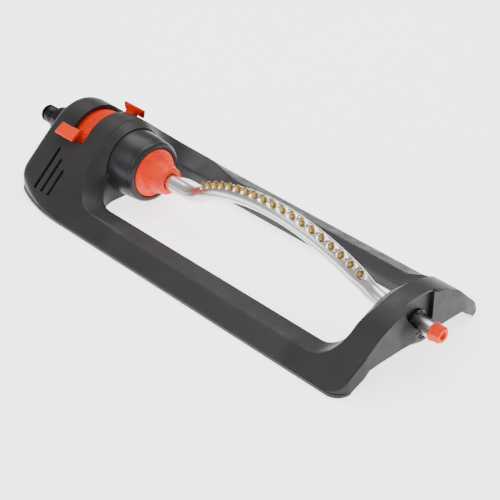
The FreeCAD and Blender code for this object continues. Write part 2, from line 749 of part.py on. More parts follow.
def gear_plate(label, x, inside, shaft_hole):
    """Round plate that carries the layshaft axle and clears the shaft on the main axis."""
    body = new_body(label, x)
    offset = mesh_distance()
    extruded(body, lambda sketch: circle(sketch, 0, 0, inside), 0, 2, "Plate")
    bore_through(body, 0, 2, shaft_hole, "ShaftHole")
    extruded(body, lambda sketch: circle(sketch, 0, offset * -1.0, 1.5), 0, 2, "AxleHole", cut=True)
    for side in (-1, 1):
        extruded(body, lambda sketch: circle(sketch, 16.0 * side, 8.0, 4.0),
                 0, 2, "WaterHole%d" % (side + 1), cut=True)
    return keep(body, label)


def layshaft_axle():
    length = S.housing_step_x + 4.5 - S.rear_plate_x
    points = [(0, 0), (0, 1.5), (length, 1.5), (length, 0)]
    return turned_part("layshaft_axle", points, S.rear_plate_x, 0, S.axis_height - mesh_distance())


def jet_plate():
    """Plate with the two jets that drive the turbine one way or the other."""
    body = new_body("jet_plate", S.jet_plate_x)
    inside = S.barrel_rear_radius - 2.0
    extruded(body, lambda sketch: circle(sketch, 0, 0, inside), 0, 2, "Plate")
    bore_through(body, 0, 2, S.running_gap + 1.5, "ShaftHole")
    for side in (-1, 1):
        extruded(body, lambda sketch: circle(sketch, 9.0 * side, 0, 2.0),
                 0, 2, "Jet%d" % (side + 1), cut=True)
    extruded(body, lambda sketch: circle(sketch, 0, 17.5, 1.0), 0, 2, "PinHole", cut=True)
    return keep(body, "jet_plate")


def flap_pin():
    points = [(0, 0), (0, 1.0), (7.5, 1.0), (7.5, 0)]
    return turned_part("flap_pin", points, S.jet_plate_x - 5.5, 0, S.axis_height + 17.5)


def reversing_flap():
    """Small rocking flap above the turbine that sends the water to one jet or the other."""
    body = new_body("reversing_flap", S.jet_plate_x - 4.8, 0, S.axis_height + 17.5)
    extruded(body, lambda sketch: outline(sketch, [
        (-2.0, -1.8), (2.0, -1.8), (2.0, 1.6), (0.8, 6.0), (-0.8, 6.0), (-2.0, 1.6)]), 0, 4, "Flap")
    bore_through(body, 0, 4, S.running_gap + 1.0)
    return keep(body, "reversing_flap")


# ---------------------------------------------------------------- tube and its fittings

def tube_collar():
    """Orange collar: flange against the motor cap, faceted boss and the tube bore."""
    flange_x = S.cap_front_x - 2.4
    body = new_body("tube_collar", flange_x)
    length = S.tube_start_x - flange_x
    front = constant(-77.0) - flange_x
    bore = S.tube_radius
    turned(body, [
        (0, 5.5), (0, 22.4), (1.6, 22.4), (3.6, 19.5), (4.6, 15.2), (front - 6, 13.2), (front - 1.0, 12.4),
        (front, 11.4), (front, bore), (length - 2.0, bore), (length - 2.0, 5.5),
    ])
    facet = extruded(body, lambda sketch: outline(sketch, [
        (-5.5, 13.3), (5.5, 13.3), (5.5, 17.0), (-5.5, 17.0)]), front - 12.0, 12.0, "Facet", cut=True)
    repeat_about_axis(body, facet, 6, "Facets")
    return keep(body, "tube_collar")


def bend_geometry():
    """Where the end bends of the tube leave the axis and meet the arch, in the arch plane."""
    radius = S.tube_arc_radius.value
    bend = S.tube_bend_radius.value
    drop = S.tube_arc_drop.value
    run = math.sqrt((radius + bend) ** 2 - (drop + bend) ** 2)
    share = radius / (radius + bend)
    return run, share * run, share * (drop + bend) - drop


def tube_path_points():
    """The tube centreline: straight, bend, arch, bend, straight, in the arch plane."""
    run, touch_run, touch_height = bend_geometry()
    middle = S.tube_arc_x.value
    bend = S.tube_bend_radius.value
    vector = lambda x, height: FreeCAD.Vector(x, 0, height)
    edges = []
    half_turn = math.asin(touch_run / S.tube_arc_radius.value) / 2.0
    for side in (-1, 1):
        leave = middle + side * run
        bend_middle = vector(leave - side * bend * math.sin(half_turn), bend * (1 - math.cos(half_turn)))
        touch = vector(middle + side * touch_run, touch_height)
        edges.append((vector(leave, 0), bend_middle, touch))
    top = vector(middle, S.tube_arc_radius.value - S.tube_arc_drop.value)
    start, end = vector(S.tube_start_x.value, 0), vector(S.tube_end_x.value, 0)
    return [
        Part.makeLine(start, edges[0][0]),
        Part.Arc(*edges[0]).toShape(),
        Part.Arc(edges[0][2], top, edges[1][2]).toShape(),
        Part.Arc(*reversed(edges[1])).toShape(),
        Part.makeLine(edges[1][0], end),
    ]


def nozzle_angles():
    count = int(S.nozzle_count.value)
    pitch = math.radians(S.nozzle_pitch_angle.value)
    return [(index - (count - 1) / 2.0) * pitch for index in range(count)]


def nozzle_frame(shape, angle):
    """Move a shape built up the Z axis from the tube centreline to its place on the arch."""
    placed = shape.copy()
    placed.translate(FreeCAD.Vector(0, 0, S.tube_arc_radius.value))
    placed.rotate(FreeCAD.Vector(0, 0, 0), FreeCAD.Vector(0, 1, 0), math.degrees(angle))
    placed.translate(FreeCAD.Vector(S.tube_arc_x.value, 0, -S.tube_arc_drop.value))
    return placed


def spray_tube():
    """Bowed aluminium tube, swept along its centreline, with a hole for each nozzle."""
    path = Part.Wire(tube_path_points())
    start = FreeCAD.Vector(S.tube_start_x.value, 0, 0)
    along = FreeCAD.Vector(1, 0, 0)
    solids = []
    for radius in (S.tube_radius.value, S.tube_radius.value - S.tube_wall.value):
        ring = Part.Wire(Part.Circle(start, along, radius).toShape())
        solids.append(path.makePipeShell([ring], True, True))
    tube = solids[0].cut(solids[1])
    hole = Part.makeCylinder(1.65, 6.0, FreeCAD.Vector(0, 0, 4.0))
    for angle in nozzle_angles():
        tube = tube.cut(nozzle_frame(hole, angle))
    return keep(part_feature("spray_tube", tube, 0, 0, S.axis_height, S.tube_tilt), "spray_tube")


def spray_nozzles():
    """The row of brass nozzles: stem in the tube wall, flange, tip and bore."""
    tube = S.tube_radius.value
    nozzle = Part.makeCylinder(1.6, tube + 0.1 - 5.4, FreeCAD.Vector(0, 0, 5.4))
    nozzle = nozzle.fuse(Part.makeCylinder(2.7, 2.3, FreeCAD.Vector(0, 0, tube + 0.1)))
    nozzle = nozzle.fuse(Part.makeCone(2.2, 1.9, 2.2, FreeCAD.Vector(0, 0, tube + 2.4)))
    nozzle = nozzle.cut(Part.makeCylinder(0.55, 12.0, FreeCAD.Vector(0, 0, 3.0)))
    solids = [nozzle_frame(nozzle, angle) for angle in nozzle_angles()]
    row = part_feature("spray_nozzles", Part.makeCompound(solids), 0, 0, S.axis_height, S.tube_tilt)
    return keep(row, "spray_nozzles")


def end_bearing():
    """Notched bush in the end web that the tube turns in."""
    body = new_body("end_bearing", S.end_web_x - 11.0)
    inner = S.tube_radius + S.running_gap
    turned(body, [(0, inner), (0, S.bush_radius), (9, S.bush_radius), (9, inner)])
    notch = extruded(body, lambda sketch: outline(sketch, [
        (-1.3, 8.6), (1.3, 8.6), (1.3, 11.0), (-1.3, 11.0)]), 0, 9, "Notch", cut=True)
    repeat_about_axis(body, notch, 8, "Notches")
    return keep(body, "end_bearing")


def end_plug():
    """Hexagonal end plug with a flange, a spigot into the tube and a recessed tip."""
    body = new_body("end_plug", S.tube_end_x)
    bore = S.tube_radius - S.tube_wall
    flange = S.plug_flange_radius
    turned(body, [
        (-9, 0.45), (-9, bore - 0.06), (-4.5, bore - 0.06), (-4.5, bore - 1.6), (-2.5, bore - 1.6),
        (-2.5, bore - 0.06), (0, bore - 0.06), (0, flange), (2.0, flange), (2.4, flange - 0.4), (2.4, 7.2),
        (9.2, 7.2), (9.8, 6.6), (9.8, 3.4), (6.8, 3.4), (6.8, 0.0), (4.0, 0.0), (4.0, 0.45),
    ])
    flat = extruded(body, lambda sketch: outline(sketch, [
        (-6.0, 6.3), (6.0, 6.3), (6.0, 9.0), (-6.0, 9.0)]), 2.4, 8.0, "Flat", cut=True)
    repeat_about_axis(body, flat, 6, "Flats")
    return keep(body, "end_plug")


def build():
    latch = housing_latch()
    doc.recompute()
    base_frame(latch)
    motor_housing()
    motor_cap()
    rear = S.ring_rear_x
    range_ring("range_ring_near", rear, -7.1, 56.0)
    range_ring("range_ring_far", rear + S.ring_pitch, 0.5, -47.0)
    rear_cover()
    cover_screws()
    hose_connector()
    ring_part("connector_seal", S.housing_rear_x + 2.0, 1.0, 5.3, 7.5)
    turned_part("inlet_filter", [
        (0, 0), (0, 4.9), (22, 4.9), (22, 4.1), (1.0, 4.1), (1.0, 0)], S.nipple_tip_x + 30.0)
    jet_plate()
    turbine_wheel()
    turbine_shaft()
    flap_pin()
    reversing_flap()
    gear_plate("gear_plate_rear", S.rear_plate_x, S.barrel_rear_radius - 2.0, S.running_gap + 1.5)
    gear_plate("gear_plate_front", S.housing_step_x + 2.5, S.barrel_radius - 2.2, S.shaft_radius + 0.3)
    layshaft_axle()
    layshaft_gear()
    output_gear()
    output_shaft()
    trip_arm()
    ring_part("shaft_seal", S.cap_joint_x - 5.2, 2.0, S.shaft_radius + 0.3, S.shaft_radius + 2.8)
    tube_collar()
    ring_part("tube_seal", S.tube_start_x - 2.0, 2.0, 5.6, 6.9)
    spray_tube()
    spray_nozzles()
    end_bearing()
    end_plug()
    ring_part("plug_seal", S.tube_end_x - 4.4, 1.8, 4.5, 5.9)
    turned_part("cleaning_pin", [(0, 0), (0, 0.45), (26, 0.45), (26, 0)], S.tube_end_x - 22.0)


def check_and_export():
    """Refuse a broken sub-part, then write one STEP file for each."""
    doc.recompute()
    for obj in doc.Objects:
        if "Invalid" in obj.State or "Error" in obj.State:
            raise RuntimeError("%s is %s" % (obj.Name, obj.State))
    os.makedirs("parts", exist_ok=True)
    for obj in parts:
        shape = obj.Shape
        if shape.isNull() or not shape.isValid() or not shape.Solids:
            raise RuntimeError("%s has a bad shape" % obj.Label)
        shape.exportStep("parts/%s.step" % obj.Label)
        print("%-20s solids %2d volume %10.1f" % (obj.Label, len(shape.Solids), shape.Volume))


build()
check_and_export()
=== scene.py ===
import bpy
import bmesh
import json
import math
from mathutils import Matrix, Vector


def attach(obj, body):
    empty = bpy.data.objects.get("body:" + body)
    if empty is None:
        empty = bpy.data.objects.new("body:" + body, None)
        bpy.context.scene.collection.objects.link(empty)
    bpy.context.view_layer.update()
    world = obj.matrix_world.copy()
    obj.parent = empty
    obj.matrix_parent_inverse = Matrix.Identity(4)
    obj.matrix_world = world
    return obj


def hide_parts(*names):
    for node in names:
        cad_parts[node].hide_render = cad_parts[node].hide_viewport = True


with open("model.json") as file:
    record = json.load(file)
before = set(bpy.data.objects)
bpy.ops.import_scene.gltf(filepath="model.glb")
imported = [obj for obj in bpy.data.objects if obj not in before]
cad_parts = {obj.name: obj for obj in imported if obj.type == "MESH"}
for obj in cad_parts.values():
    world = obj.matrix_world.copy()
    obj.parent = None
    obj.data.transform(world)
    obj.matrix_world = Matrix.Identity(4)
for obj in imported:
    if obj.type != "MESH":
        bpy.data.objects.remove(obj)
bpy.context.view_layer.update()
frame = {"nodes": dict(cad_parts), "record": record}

# Sizes are millimetres in the CAD frame, turned into metres where Blender takes them.
MM = 0.001
AXIS = 32.2                 # height of the tube axis
HALF = 84.6                 # half width over the base
LIP = 3.5                   # height of the upright lip
REAR = -207.0               # rear wall of the motor hood
FRONT = 214.3               # front edge of the end arch, centre plane
RAIL_CREASE = (65.5, 12.1)  # crease of a side rail, from the centre plane and above the ground
WINDOW = (49.0, 12.4)       # inner edge of a side rail
CORNER = 24.0               # rounding of the window corners
SKIN = 2.4                  # wall thickness
BARREL = 30.65              # hole in the hood for the motor barrel
MOTOR_FOOT_X = -105.0       # where the motor end crease leaves the flank
MOTOR_SWEEP = 31.0          # radius of that crease in side view
MOTOR_SWEEP_Z = LIP + 45.0  # height of its centre
MOTOR_BLEND = 42.0          # length over which a rail runs up into the motor hood
ARCH_FOOT_X = 161.0         # where the end arch's crease leaves the flank
ARCH_SWEEP = 24.5           # radius of that crease in side view
ARCH_SWEEP_Z = 41.0         # height of its centre
ARCH_BLEND = 26.0           # length over which a rail runs up into the end arch
ARCH_SLOPE = 44.0           # slope of the end arch's flank in degrees
ARCH_CREST = 57.0           # top of the end arch
ARCH_RADIUS = 72.0          # radius over its crest
LEDGE = 0.9                 # how far inside the plan outline the surface starts
REAR_ARC = (-137.0, -72.4, 157.0)   # rear plan outline: centre x, y and radius of its side arc
REAR_CORNER = (-195.0, 60.5, 12.0)  # and of its corner
FRONT_CORNER = (192.9, 71.6, 13.0)  # front plan outline: centre x, y and radius of its corner
FRONT_BOW = 640.0           # twice the radius of the front edge in plan
WINDOW_REAR = -103.0        # centre of the window's rear corners
WINDOW_FRONT = 155.0        # and of its front corners
BARREL_EDGE_X = REAR + 79.8  # front edge of the barrel hole
BARREL_WALL_X = REAR + 80.0  # inner wall below it
ARCH_OPENING_X = 179.0      # rear edge of the end arch's opening
GROOVE = 0.35               # depth of the groove along the rail crease
WEB_X = 208.5               # front web of the end arch
FOOT_END = 71.0             # where the front foot's upright lip ends
ALCOVE = 16.4               # half width of the recess round the tube end
ALCOVE_X = 204.5            # its back wall
WEB_SKIN = 2.6              # wall behind the alcove
BULGE = 6.6                 # how far the web swells out round the bearing
BULGE_REACH = 21.0          # where the swelling ends, from the tube axis
SEAT = 10.4                 # half width of the alcove at the bearing
RING_SLOT = (-178.4, -157.8, 63.0)  # slot over the range rings: rear, front and half angle
DRAIN_SLOPE = 42.0          # slope of the flank with the drain slots, in degrees
RIBS = 96                   # ribs round a range ring
RING_RADIUS = 31.0          # over the ribs
BORE = 6.0                  # radius of the tube's bore, and how deep it is cut at each end


def smooth(t):
    """Ease from 0 to 1, level at both ends."""
    t = min(max(t, 0.0), 1.0)
    return t * t * (3.0 - 2.0 * t)


def mix(a, b, t):
    """The value at share t of the way from a to b."""
    return a + (b - a) * t


def mix_point(a, b, t):
    """As mix, for points."""
    return tuple(mix(p, q, t) for p, q in zip(a, b))


# ---- mesh helpers

def link_mesh(name, mesh):
    """An object in the scene with this mesh."""
    obj = bpy.data.objects.new(name, mesh)
    bpy.context.scene.collection.objects.link(obj)
    return obj


def mesh_from(name, vertices, faces, weld=None):
    """A mesh object from points in millimetres; weld joins points closer than that."""
    mesh = bpy.data.meshes.new(name)
    mesh.from_pydata([tuple(c * MM for c in v) for v in vertices], [], faces)
    if weld:
        bm = bmesh.new()
        bm.from_mesh(mesh)
        bmesh.ops.remove_doubles(bm, verts=bm.verts, dist=weld * MM)
        bmesh.ops.dissolve_degenerate(bm, edges=bm.edges, dist=weld * MM * 0.5)
        bmesh.ops.recalc_face_normals(bm, faces=bm.faces)
        bm.to_mesh(mesh)
        bm.free()
    mesh.update()
    return link_mesh(name, mesh)


class Sheets:
    """Collects point grids that share their borders into one mesh."""

    def __init__(self):
        self.vertices = []
        self.faces = []

    def add(self, rows, flip=False):
        """Add a grid given as rows of points; flip turns its faces over."""
        start = len(self.vertices)
        count = len(rows[0])
        for row in rows:
            self.vertices.extend(tuple(p) for p in row)
        for i in range(len(rows) - 1):
            for j in range(count - 1):
                a = start + i * count + j
                face = (a, a + 1, a + count + 1, a + count)
                self.faces.append(tuple(reversed(face)) if flip else face)


def apply_modifiers(obj):
    """Replace the mesh by the result of its modifiers."""
    graph = bpy.context.evaluated_depsgraph_get()
    baked = bpy.data.meshes.new_from_object(obj.evaluated_get(graph), depsgraph=graph)
    old = obj.data
    obj.modifiers.clear()
    obj.data = baked
    bpy.data.meshes.remove(old)


def cut(obj, cutter, operation="DIFFERENCE"):
    """Cut one object with another, or join them as solids, and delete the other."""
    modifier = obj.modifiers.new("cut", "BOOLEAN")
    modifier.operation = operation
    modifier.solver = "EXACT"
    modifier.object = cutter
    apply_modifiers(obj)
    bpy.data.objects.remove(cutter)


def shade(obj, angle):
    """Shade smoothly, with sharp edges above this angle in degrees, and hand the piece on."""
    obj.data.polygons.foreach_set("use_smooth", [True] * len(obj.data.polygons))
    obj.data.set_sharp_from_angle(angle=math.radians(angle))
    obj.data.update()
    return obj


def bevel(obj, width, segments=2, angle=35.0):
    """Round the edges that turn by more than this angle in degrees."""
    modifier = obj.modifiers.new("bevel", "BEVEL")
    modifier.width = width * MM
    modifier.segments = segments
    modifier.limit_method = "ANGLE"
    modifier.angle_limit = math.radians(angle)
    modifier.use_clamp_overlap = True
    apply_modifiers(obj)


def stack_faces(layers, count):
    """Faces of a solid stacked from outlines of count points each."""
    faces = [tuple(range(count)), tuple(range(layers * count - 1, (layers - 1) * count - 1, -1))]
    for layer in range(layers - 1):
        low, high = layer * count, (layer + 1) * count
        for i in range(count):
            j = (i + 1) % count
            faces.append((low + i, high + i, high + j, low + j))
    return faces


def sleeve_faces(loops, count, start=0):
    """Faces between round loops of count points each, the first point being vertex start."""
    faces = []
    for i in range(loops - 1):
        low, high = start + i * count, start + (i + 1) * count
        for k in range(count):
            m = (k + 1) % count
            faces.append((low + k, low + m, high + m, high + k))
    return faces


def lathe_faces(count, size):
    """Faces between count copies of a closed profile of size points, round a full turn."""
    faces = []
    for i in range(count):
        here, after = i * size, ((i + 1) % count) * size
        for j in range(size):
            k = (j + 1) % size
            faces.append((here + j, here + k, after + k, after + j))
    return faces


def prism(name, outline, x0, x1):
    """A solid with this (y, z) outline from x0 to x1."""
    vertices = [(x, y, z) for x in (x0, x1) for y, z in outline]
    return mesh_from(name, vertices, stack_faces(2, len(outline)), weld=0.0001)


def box(name, low, high):
    """A block between two corners."""
    outline = [(low[1], low[2]), (high[1], low[2]), (high[1], high[2]), (low[1], high[2])]
    return prism(name, outline, low[0], high[0])


def shaped_revolve(name, profile, count, sides=6, turn=0.0):
    """A closed profile of (x, radius, share) points turned about the tube axis.

    A point with share 0 runs round, one with share 1 runs along flat sides."""
    vertices = []
    pitch = 2.0 * math.pi / sides
    for i in range(count):
        angle = 2.0 * math.pi * i / count
        local = (angle + turn) % pitch - pitch / 2.0
        flat = math.cos(pitch / 2.0) / math.cos(local)
        for x, radius, share in profile:
            r = radius * mix(1.0, flat, share)
            vertices.append((x, r * math.sin(angle), AXIS + r * math.cos(angle)))
    return mesh_from(name, vertices, lathe_faces(count, len(profile)), weld=0.0005)


def revolve(name, profile, count):
    """A closed profile of (x, radius) points turned about the tube axis."""
    return shaped_revolve(name, [(x, radius, 0.0) for x, radius in profile], count)


# ---- base frame surface

def motor_angle(x):
    """Slope of the motor hood's flank, a little steeper towards the front."""
    return math.radians(mix(42.0, 43.0, smooth((x + 168.0) / 22.0)))


def hood_profile(row, slope, radius, centre):
    """Point (y, z) of a hood's cross-section: row 0..1 up the flank, 1..2 over the round crest."""
    if row <= 1.0:
        return (mix(HALF, radius * math.sin(slope), row),
                mix(LIP, centre + radius * math.cos(slope), row))
    angle = slope * (2.0 - row)
    return radius * math.sin(angle), centre + radius * math.cos(angle)


def motor_profile(row, x):
    """Section of the motor hood at x, its crest round the tube axis."""
    slope = motor_angle(x)
    radius = HALF * math.sin(slope) - (AXIS - LIP) * math.cos(slope)
    return hood_profile(row, slope, radius, AXIS)


def motor_row(height):
    """The flank row that reaches this height at the front of the hood."""
    return (height - LIP) / (motor_profile(1.0, -130.0)[1] - LIP)


def arch_profile(row):
    """Section of the end arch."""
    return hood_profile(row, math.radians(ARCH_SLOPE), ARCH_RADIUS, ARCH_CREST - ARCH_RADIUS)


def arc_point(arc, y, inset, side):
    """Point of a rounded plan outline set in by inset, for the row that is y out at the ledge.

    side is -1 at the rear and 1 at the front."""
    centre_x, centre_y, radius = arc
    inner = radius - LEDGE
    along = math.sqrt(max(inner ** 2 - (y - centre_y) ** 2, 0.0))
    share = (radius - inset) / inner
    return centre_x + side * along * share, centre_y + (y - centre_y) * share


def rear_point(y, inset):
    """Point of the rear plan outline: the flat rear, the corner, then the side arc."""
    _, corner_y, corner_radius = REAR_CORNER
    if y <= corner_y:
        return REAR + inset, y
    if y <= corner_y + (corner_radius - LEDGE) * 0.9166:
        return arc_point(REAR_CORNER, y, inset, -1.0)
    return arc_point(REAR_ARC, min(y, HALF - LEDGE), inset, -1.0)


def front_point(y, inset):
    """Point of the front plan outline: the bowed front, then the corner."""
    _, corner_y, corner_radius = FRONT_CORNER
    if y <= corner_y + (corner_radius - LEDGE) * 0.228:
        return FRONT - inset - y * y / FRONT_BOW, y
    return arc_point(FRONT_CORNER, min(y, HALF - LEDGE), inset, 1.0)


def rear_distance(x, y):
    """How far a plan point lies inside the ledge of the rear outline."""
    arc_x, arc_y, arc_radius = REAR_ARC
    corner_x, corner_y, corner_radius = REAR_CORNER
    distance = HALF - y
    if x < arc_x:
        distance = min(x - REAR, arc_radius - math.hypot(x - arc_x, y - arc_y))
    if x < corner_x and y > corner_y:
        distance = min(distance, corner_radius - math.hypot(x - corner_x, y - corner_y))
    return max(distance - LEDGE, 0.0)


def round_over(distance, run, depth):
    """Drop of a rounded edge at this distance inside it."""
    t = min(max(distance / run, 0.0), 1.0)
    return depth * (1.0 - math.sqrt(max(1.0 - (1.0 - t) ** 2, 0.0)))


SWEEP_STEPS = 12            # rows round the sweep of a hood's crease
CREST_STEPS = 11            # rows above it, up to the crest
REAR_SPLIT = 7              # crease points that end on the window's rear corner
FRONT_SPLIT = 8             # and on its front corner
# rows between the crease (0) and the lip (1), and columns inside a rounded edge in millimetres
STRIP = [0.0, 0.05, 0.12, 0.24, 0.38, 0.52, 0.64, 0.74, 0.82, 0.88, 0.925, 0.955]
EDGE_STEPS = [0.0, 0.35, 0.9, 1.8, 3.2, 5.2, 8.0, 11.5]


def motor_rows():
    """Rows of the motor hood above the foot of its crease, from the foot to the crest."""
    rows = []
    for k in range(SWEEP_STEPS + 1):
        angle = math.radians(90.0 * k / SWEEP_STEPS)
        height = MOTOR_SWEEP_Z - MOTOR_SWEEP * math.cos(angle)
        rows.append((motor_row(height), MOTOR_FOOT_X - MOTOR_SWEEP * math.sin(angle)))
    last = rows[-1][0]
    rows += [(mix(last, 1.0, k / 3.0), MOTOR_FOOT_X - MOTOR_SWEEP) for k in (1, 2, 3)]
    rows += [(1.0 + k / 8.0, MOTOR_FOOT_X - MOTOR_SWEEP + 0.4 * k / 8.0) for k in range(1, 9)]
    return rows


def arch_rows():
    """Rows of the end arch, as motor_rows."""
    slope = math.radians(ARCH_SLOPE)
    tangent = arch_profile(1.0)[1]
    rows = []
    for k in range(SWEEP_STEPS + 1):
        angle = math.radians(90.0 * k / SWEEP_STEPS)
        height = ARCH_SWEEP_Z - ARCH_SWEEP * math.cos(angle)
        if height <= tangent:
            row = (height - LIP) / (tangent - LIP)
        else:
            row = 2.0 - math.acos((height - ARCH_CREST + ARCH_RADIUS) / ARCH_RADIUS) / slope
        rows.append((row, ARCH_FOOT_X + ARCH_SWEEP * math.sin(angle)))
    last = rows[-1][0]
    for k in range(1, CREST_STEPS + 1):
        row = mix(last, 2.0, k / CREST_STEPS)
        rise = smooth((arch_profile(row)[1] - ARCH_SWEEP_Z) / 13.0)
        rows.append((row, ARCH_FOOT_X + ARCH_SWEEP + 5.0 * rise))
    return rows


def crease(x):
    """Crease between the outer slope and the top of a rail, between the two hoods."""
    motor = motor_profile(motor_row(MOTOR_SWEEP_Z - MOTOR_SWEEP), x)
    arch = arch_profile(arch_rows()[0][0])
    to_motor = 1.0 - smooth((x - MOTOR_FOOT_X) / MOTOR_BLEND)
    to_arch = smooth((x - (ARCH_FOOT_X - ARCH_BLEND)) / ARCH_BLEND)
    point = mix_point(RAIL_CREASE, motor, to_motor)
    return mix_point(point, arch, to_arch)


def hood_columns(start, end):
    """Positions along a row, close together at the rounded edge where it starts."""
    length = abs(end - start)
    scale = min(1.0, length / 30.0)
    near = [d * scale for d in EDGE_STEPS]
    rest = [mix(near[-1], length, k / 12.0) for k in range(1, 13)]
    distances = near + rest
    sign = 1.0 if end > start else -1.0
    return [start + sign * d for d in distances]


def motor_surface(row, x):
    """Point of the motor hood with its rear edge rounded over."""
    y, z = motor_profile(row, x)
    share = smooth((y - 14.0) / 26.0)
    depth = min(mix(4.6, 3.2, share), 0.5 * max(z - LIP - 0.6, 0.0))
    run = mix(11.0, 5.5, share)
    return x, y, z - round_over(rear_distance(x, y), run, depth)


def arch_surface(row, x):
    """Point of the end arch with its front edge rounded over."""
    y, z = arch_profile(row)
    edge = front_point(y, LEDGE)[0]
    share = smooth((y - 45.0) / 25.0) * smooth((z - LIP - 0.5) / 8.0)
    return x, y, z - round_over(edge - x, 3.0, 1.6 * share + 0.25)


def sunk(point, depth):
    """The point lowered by depth."""
    return point[0], point[1], point[2] - depth


def rail_stations():
    """Stations along a rail, closer where the hoods sweep up."""
    motor = [MOTOR_FOOT_X + MOTOR_BLEND * k / 14.0 for k in range(14)]
    middle = [mix(MOTOR_FOOT_X + MOTOR_BLEND, ARCH_FOOT_X - ARCH_BLEND, k / 16.0) for k in range(16)]
    arch = [ARCH_FOOT_X - ARCH_BLEND + ARCH_BLEND * k / 10.0 for k in range(11)]
    return motor + middle + arch


def corner_point(centre_x, side, angle):
    """Entry of window_edge on a window corner, angle from the side rail towards the end."""
    sine, cosine = math.sin(angle), math.cos(angle)
    point = (centre_x + side * CORNER * sine, WINDOW[0] - CORNER + CORNER * cosine,
             WINDOW[1] + CORNER - CORNER * cosine)
    return point, (side * sine, cosine, 0.0)


def window_edge(stations):
    """Inner edge of the frame from the crest over the motor barrel to the crest of the end arch.

    Each entry is (edge point, unit vector away from the opening), one for each crease point."""
    edge = []
    motor_count = SWEEP_STEPS + CREST_STEPS
    for k in range(motor_count, REAR_SPLIT, -1):
        angle = math.radians(93.5 * (motor_count - k) / (motor_count - REAR_SPLIT))
        away = (0.0, math.sin(angle), math.cos(angle))
        edge.append(((BARREL_EDGE_X, BARREL * away[1], AXIS + BARREL * away[2]), away))
    for k in range(REAR_SPLIT, 0, -1):
        edge.append(corner_point(WINDOW_REAR, -1.0, math.radians(75.2 * k / REAR_SPLIT)))
    for x in stations:
        share = (x - stations[0]) / (stations[-1] - stations[0])
        edge.append(((WINDOW_REAR + share * (WINDOW_FRONT - WINDOW_REAR), *WINDOW), (0.0, 1.0, 0.0)))
    for k in range(1, FRONT_SPLIT + 1):
        edge.append(corner_point(WINDOW_FRONT, 1.0, math.radians(90.0 * k / FRONT_SPLIT)))
    arc_z, arc_radius = 6.6, 38.9
    side = math.atan2(WINDOW[0] - CORNER, WINDOW[1] + CORNER - arc_z)
    for k in range(FRONT_SPLIT + 1, motor_count + 1):
        angle = side * (motor_count - k) / (motor_count - FRONT_SPLIT)
        away = (0.0, math.sin(angle), math.cos(angle))
        edge.append(((ARCH_OPENING_X, arc_radius * away[1], arc_z + arc_radius * away[2]), away))
    return edge


def shelf_rows(creases, edge):
    """Grid of the surface between the crease and the window edge."""
    lanes = [0.0, 0.05, 0.13, 0.3, 0.5, 0.7, 0.86, 0.95, 1.0]
    rows = []
    for lane in lanes:
        row = []
        for start, (end, away) in zip(creases, edge):
            stop = tuple(e + 1.1 * a for e, a in zip(end, away))
            point = mix_point(start, stop, lane)
            row.append(sunk(point, GROOVE if lane == 0.0 else 0.0))
        rows.append(row)
    rounded, turned_in = [], []
    for (x, y, z), away in edge:
        hole = away[2] > 0.02
        inward = (-1.0 if x < 0.0 else 1.0, 0.0, 0.0) if hole else (0.0, 0.0, -1.0)
        rounded.append(tuple(e + 0.33 * a + 0.33 * d for e, a, d in zip((x, y, z), away, inward)))
        turned_in.append(tuple(e + 1.1 * d for e, d in zip((x, y, z), inward)))
    rows.append(rounded)
    rows.append(turned_in)
    return rows


def inner_wall_rows(edge, stations):
    """Grid of the upright wall round the window."""
    motor_count = SWEEP_STEPS + CREST_STEPS
    corner_y = WINDOW[0] - CORNER
    ends = (0.0, 6.0, 12.0, 18.0, 22.0)
    barrel_side = [(BARREL_WALL_X, y) for y in ends + (corner_y,)]
    for angle in (85.0, 80.0):
        turn = math.radians(angle)
        barrel_side.append((WINDOW_REAR - CORNER * math.sin(turn), corner_y + CORNER * math.cos(turn)))
    tops = [(x, y, AXIS - math.sqrt(BARREL ** 2 - y * y)) for x, y in barrel_side]
    first = motor_count - REAR_SPLIT
    last = motor_count + len(stations) + FRONT_SPLIT
    tops += [(x, y, z - 1.1) for (x, y, z), _ in edge[first:last]]
    tops += [(ARCH_OPENING_X, y, 37.0 - math.sqrt(25.0 ** 2 - y * y)) for y in reversed(ends)]
    heights = [0.0, 0.35, 0.75, 1.0]
    return [[(x, y, mix(max(z, 1.8), 1.5, h)) for x, y, z in tops] for h in heights]


def lip_rows(tops, outlines):
    """Grid of the lip: the joint groove, the ledge and the upright band down to the ground.

    outlines holds, for each top point, a function from inset to plan point."""
    def at(inset, height):
        """The outline at this inset and height."""
        return [(*outline(inset), height) for outline in outlines]
    middle = [mix_point(a, b, 0.5) for a, b in zip(tops, at(0.75, 3.3))]
    return [tops, middle, at(0.75, 3.3), at(0.35, 3.2), at(0.0, 2.85), at(0.0, 0.0)]


def hood_grid(rows, profile, outline, surface):
    """Grid of a hood from its rounded edge to its crease, and how far out each row starts."""
    grid, ends = [], []
    for row, crease_x in rows:
        y = profile(row)[0]
        start = outline(y, LEDGE)[0]
        grid.append([surface(row, x) for x in hood_columns(start, crease_x)])
        ends.append(y)
    return grid, ends


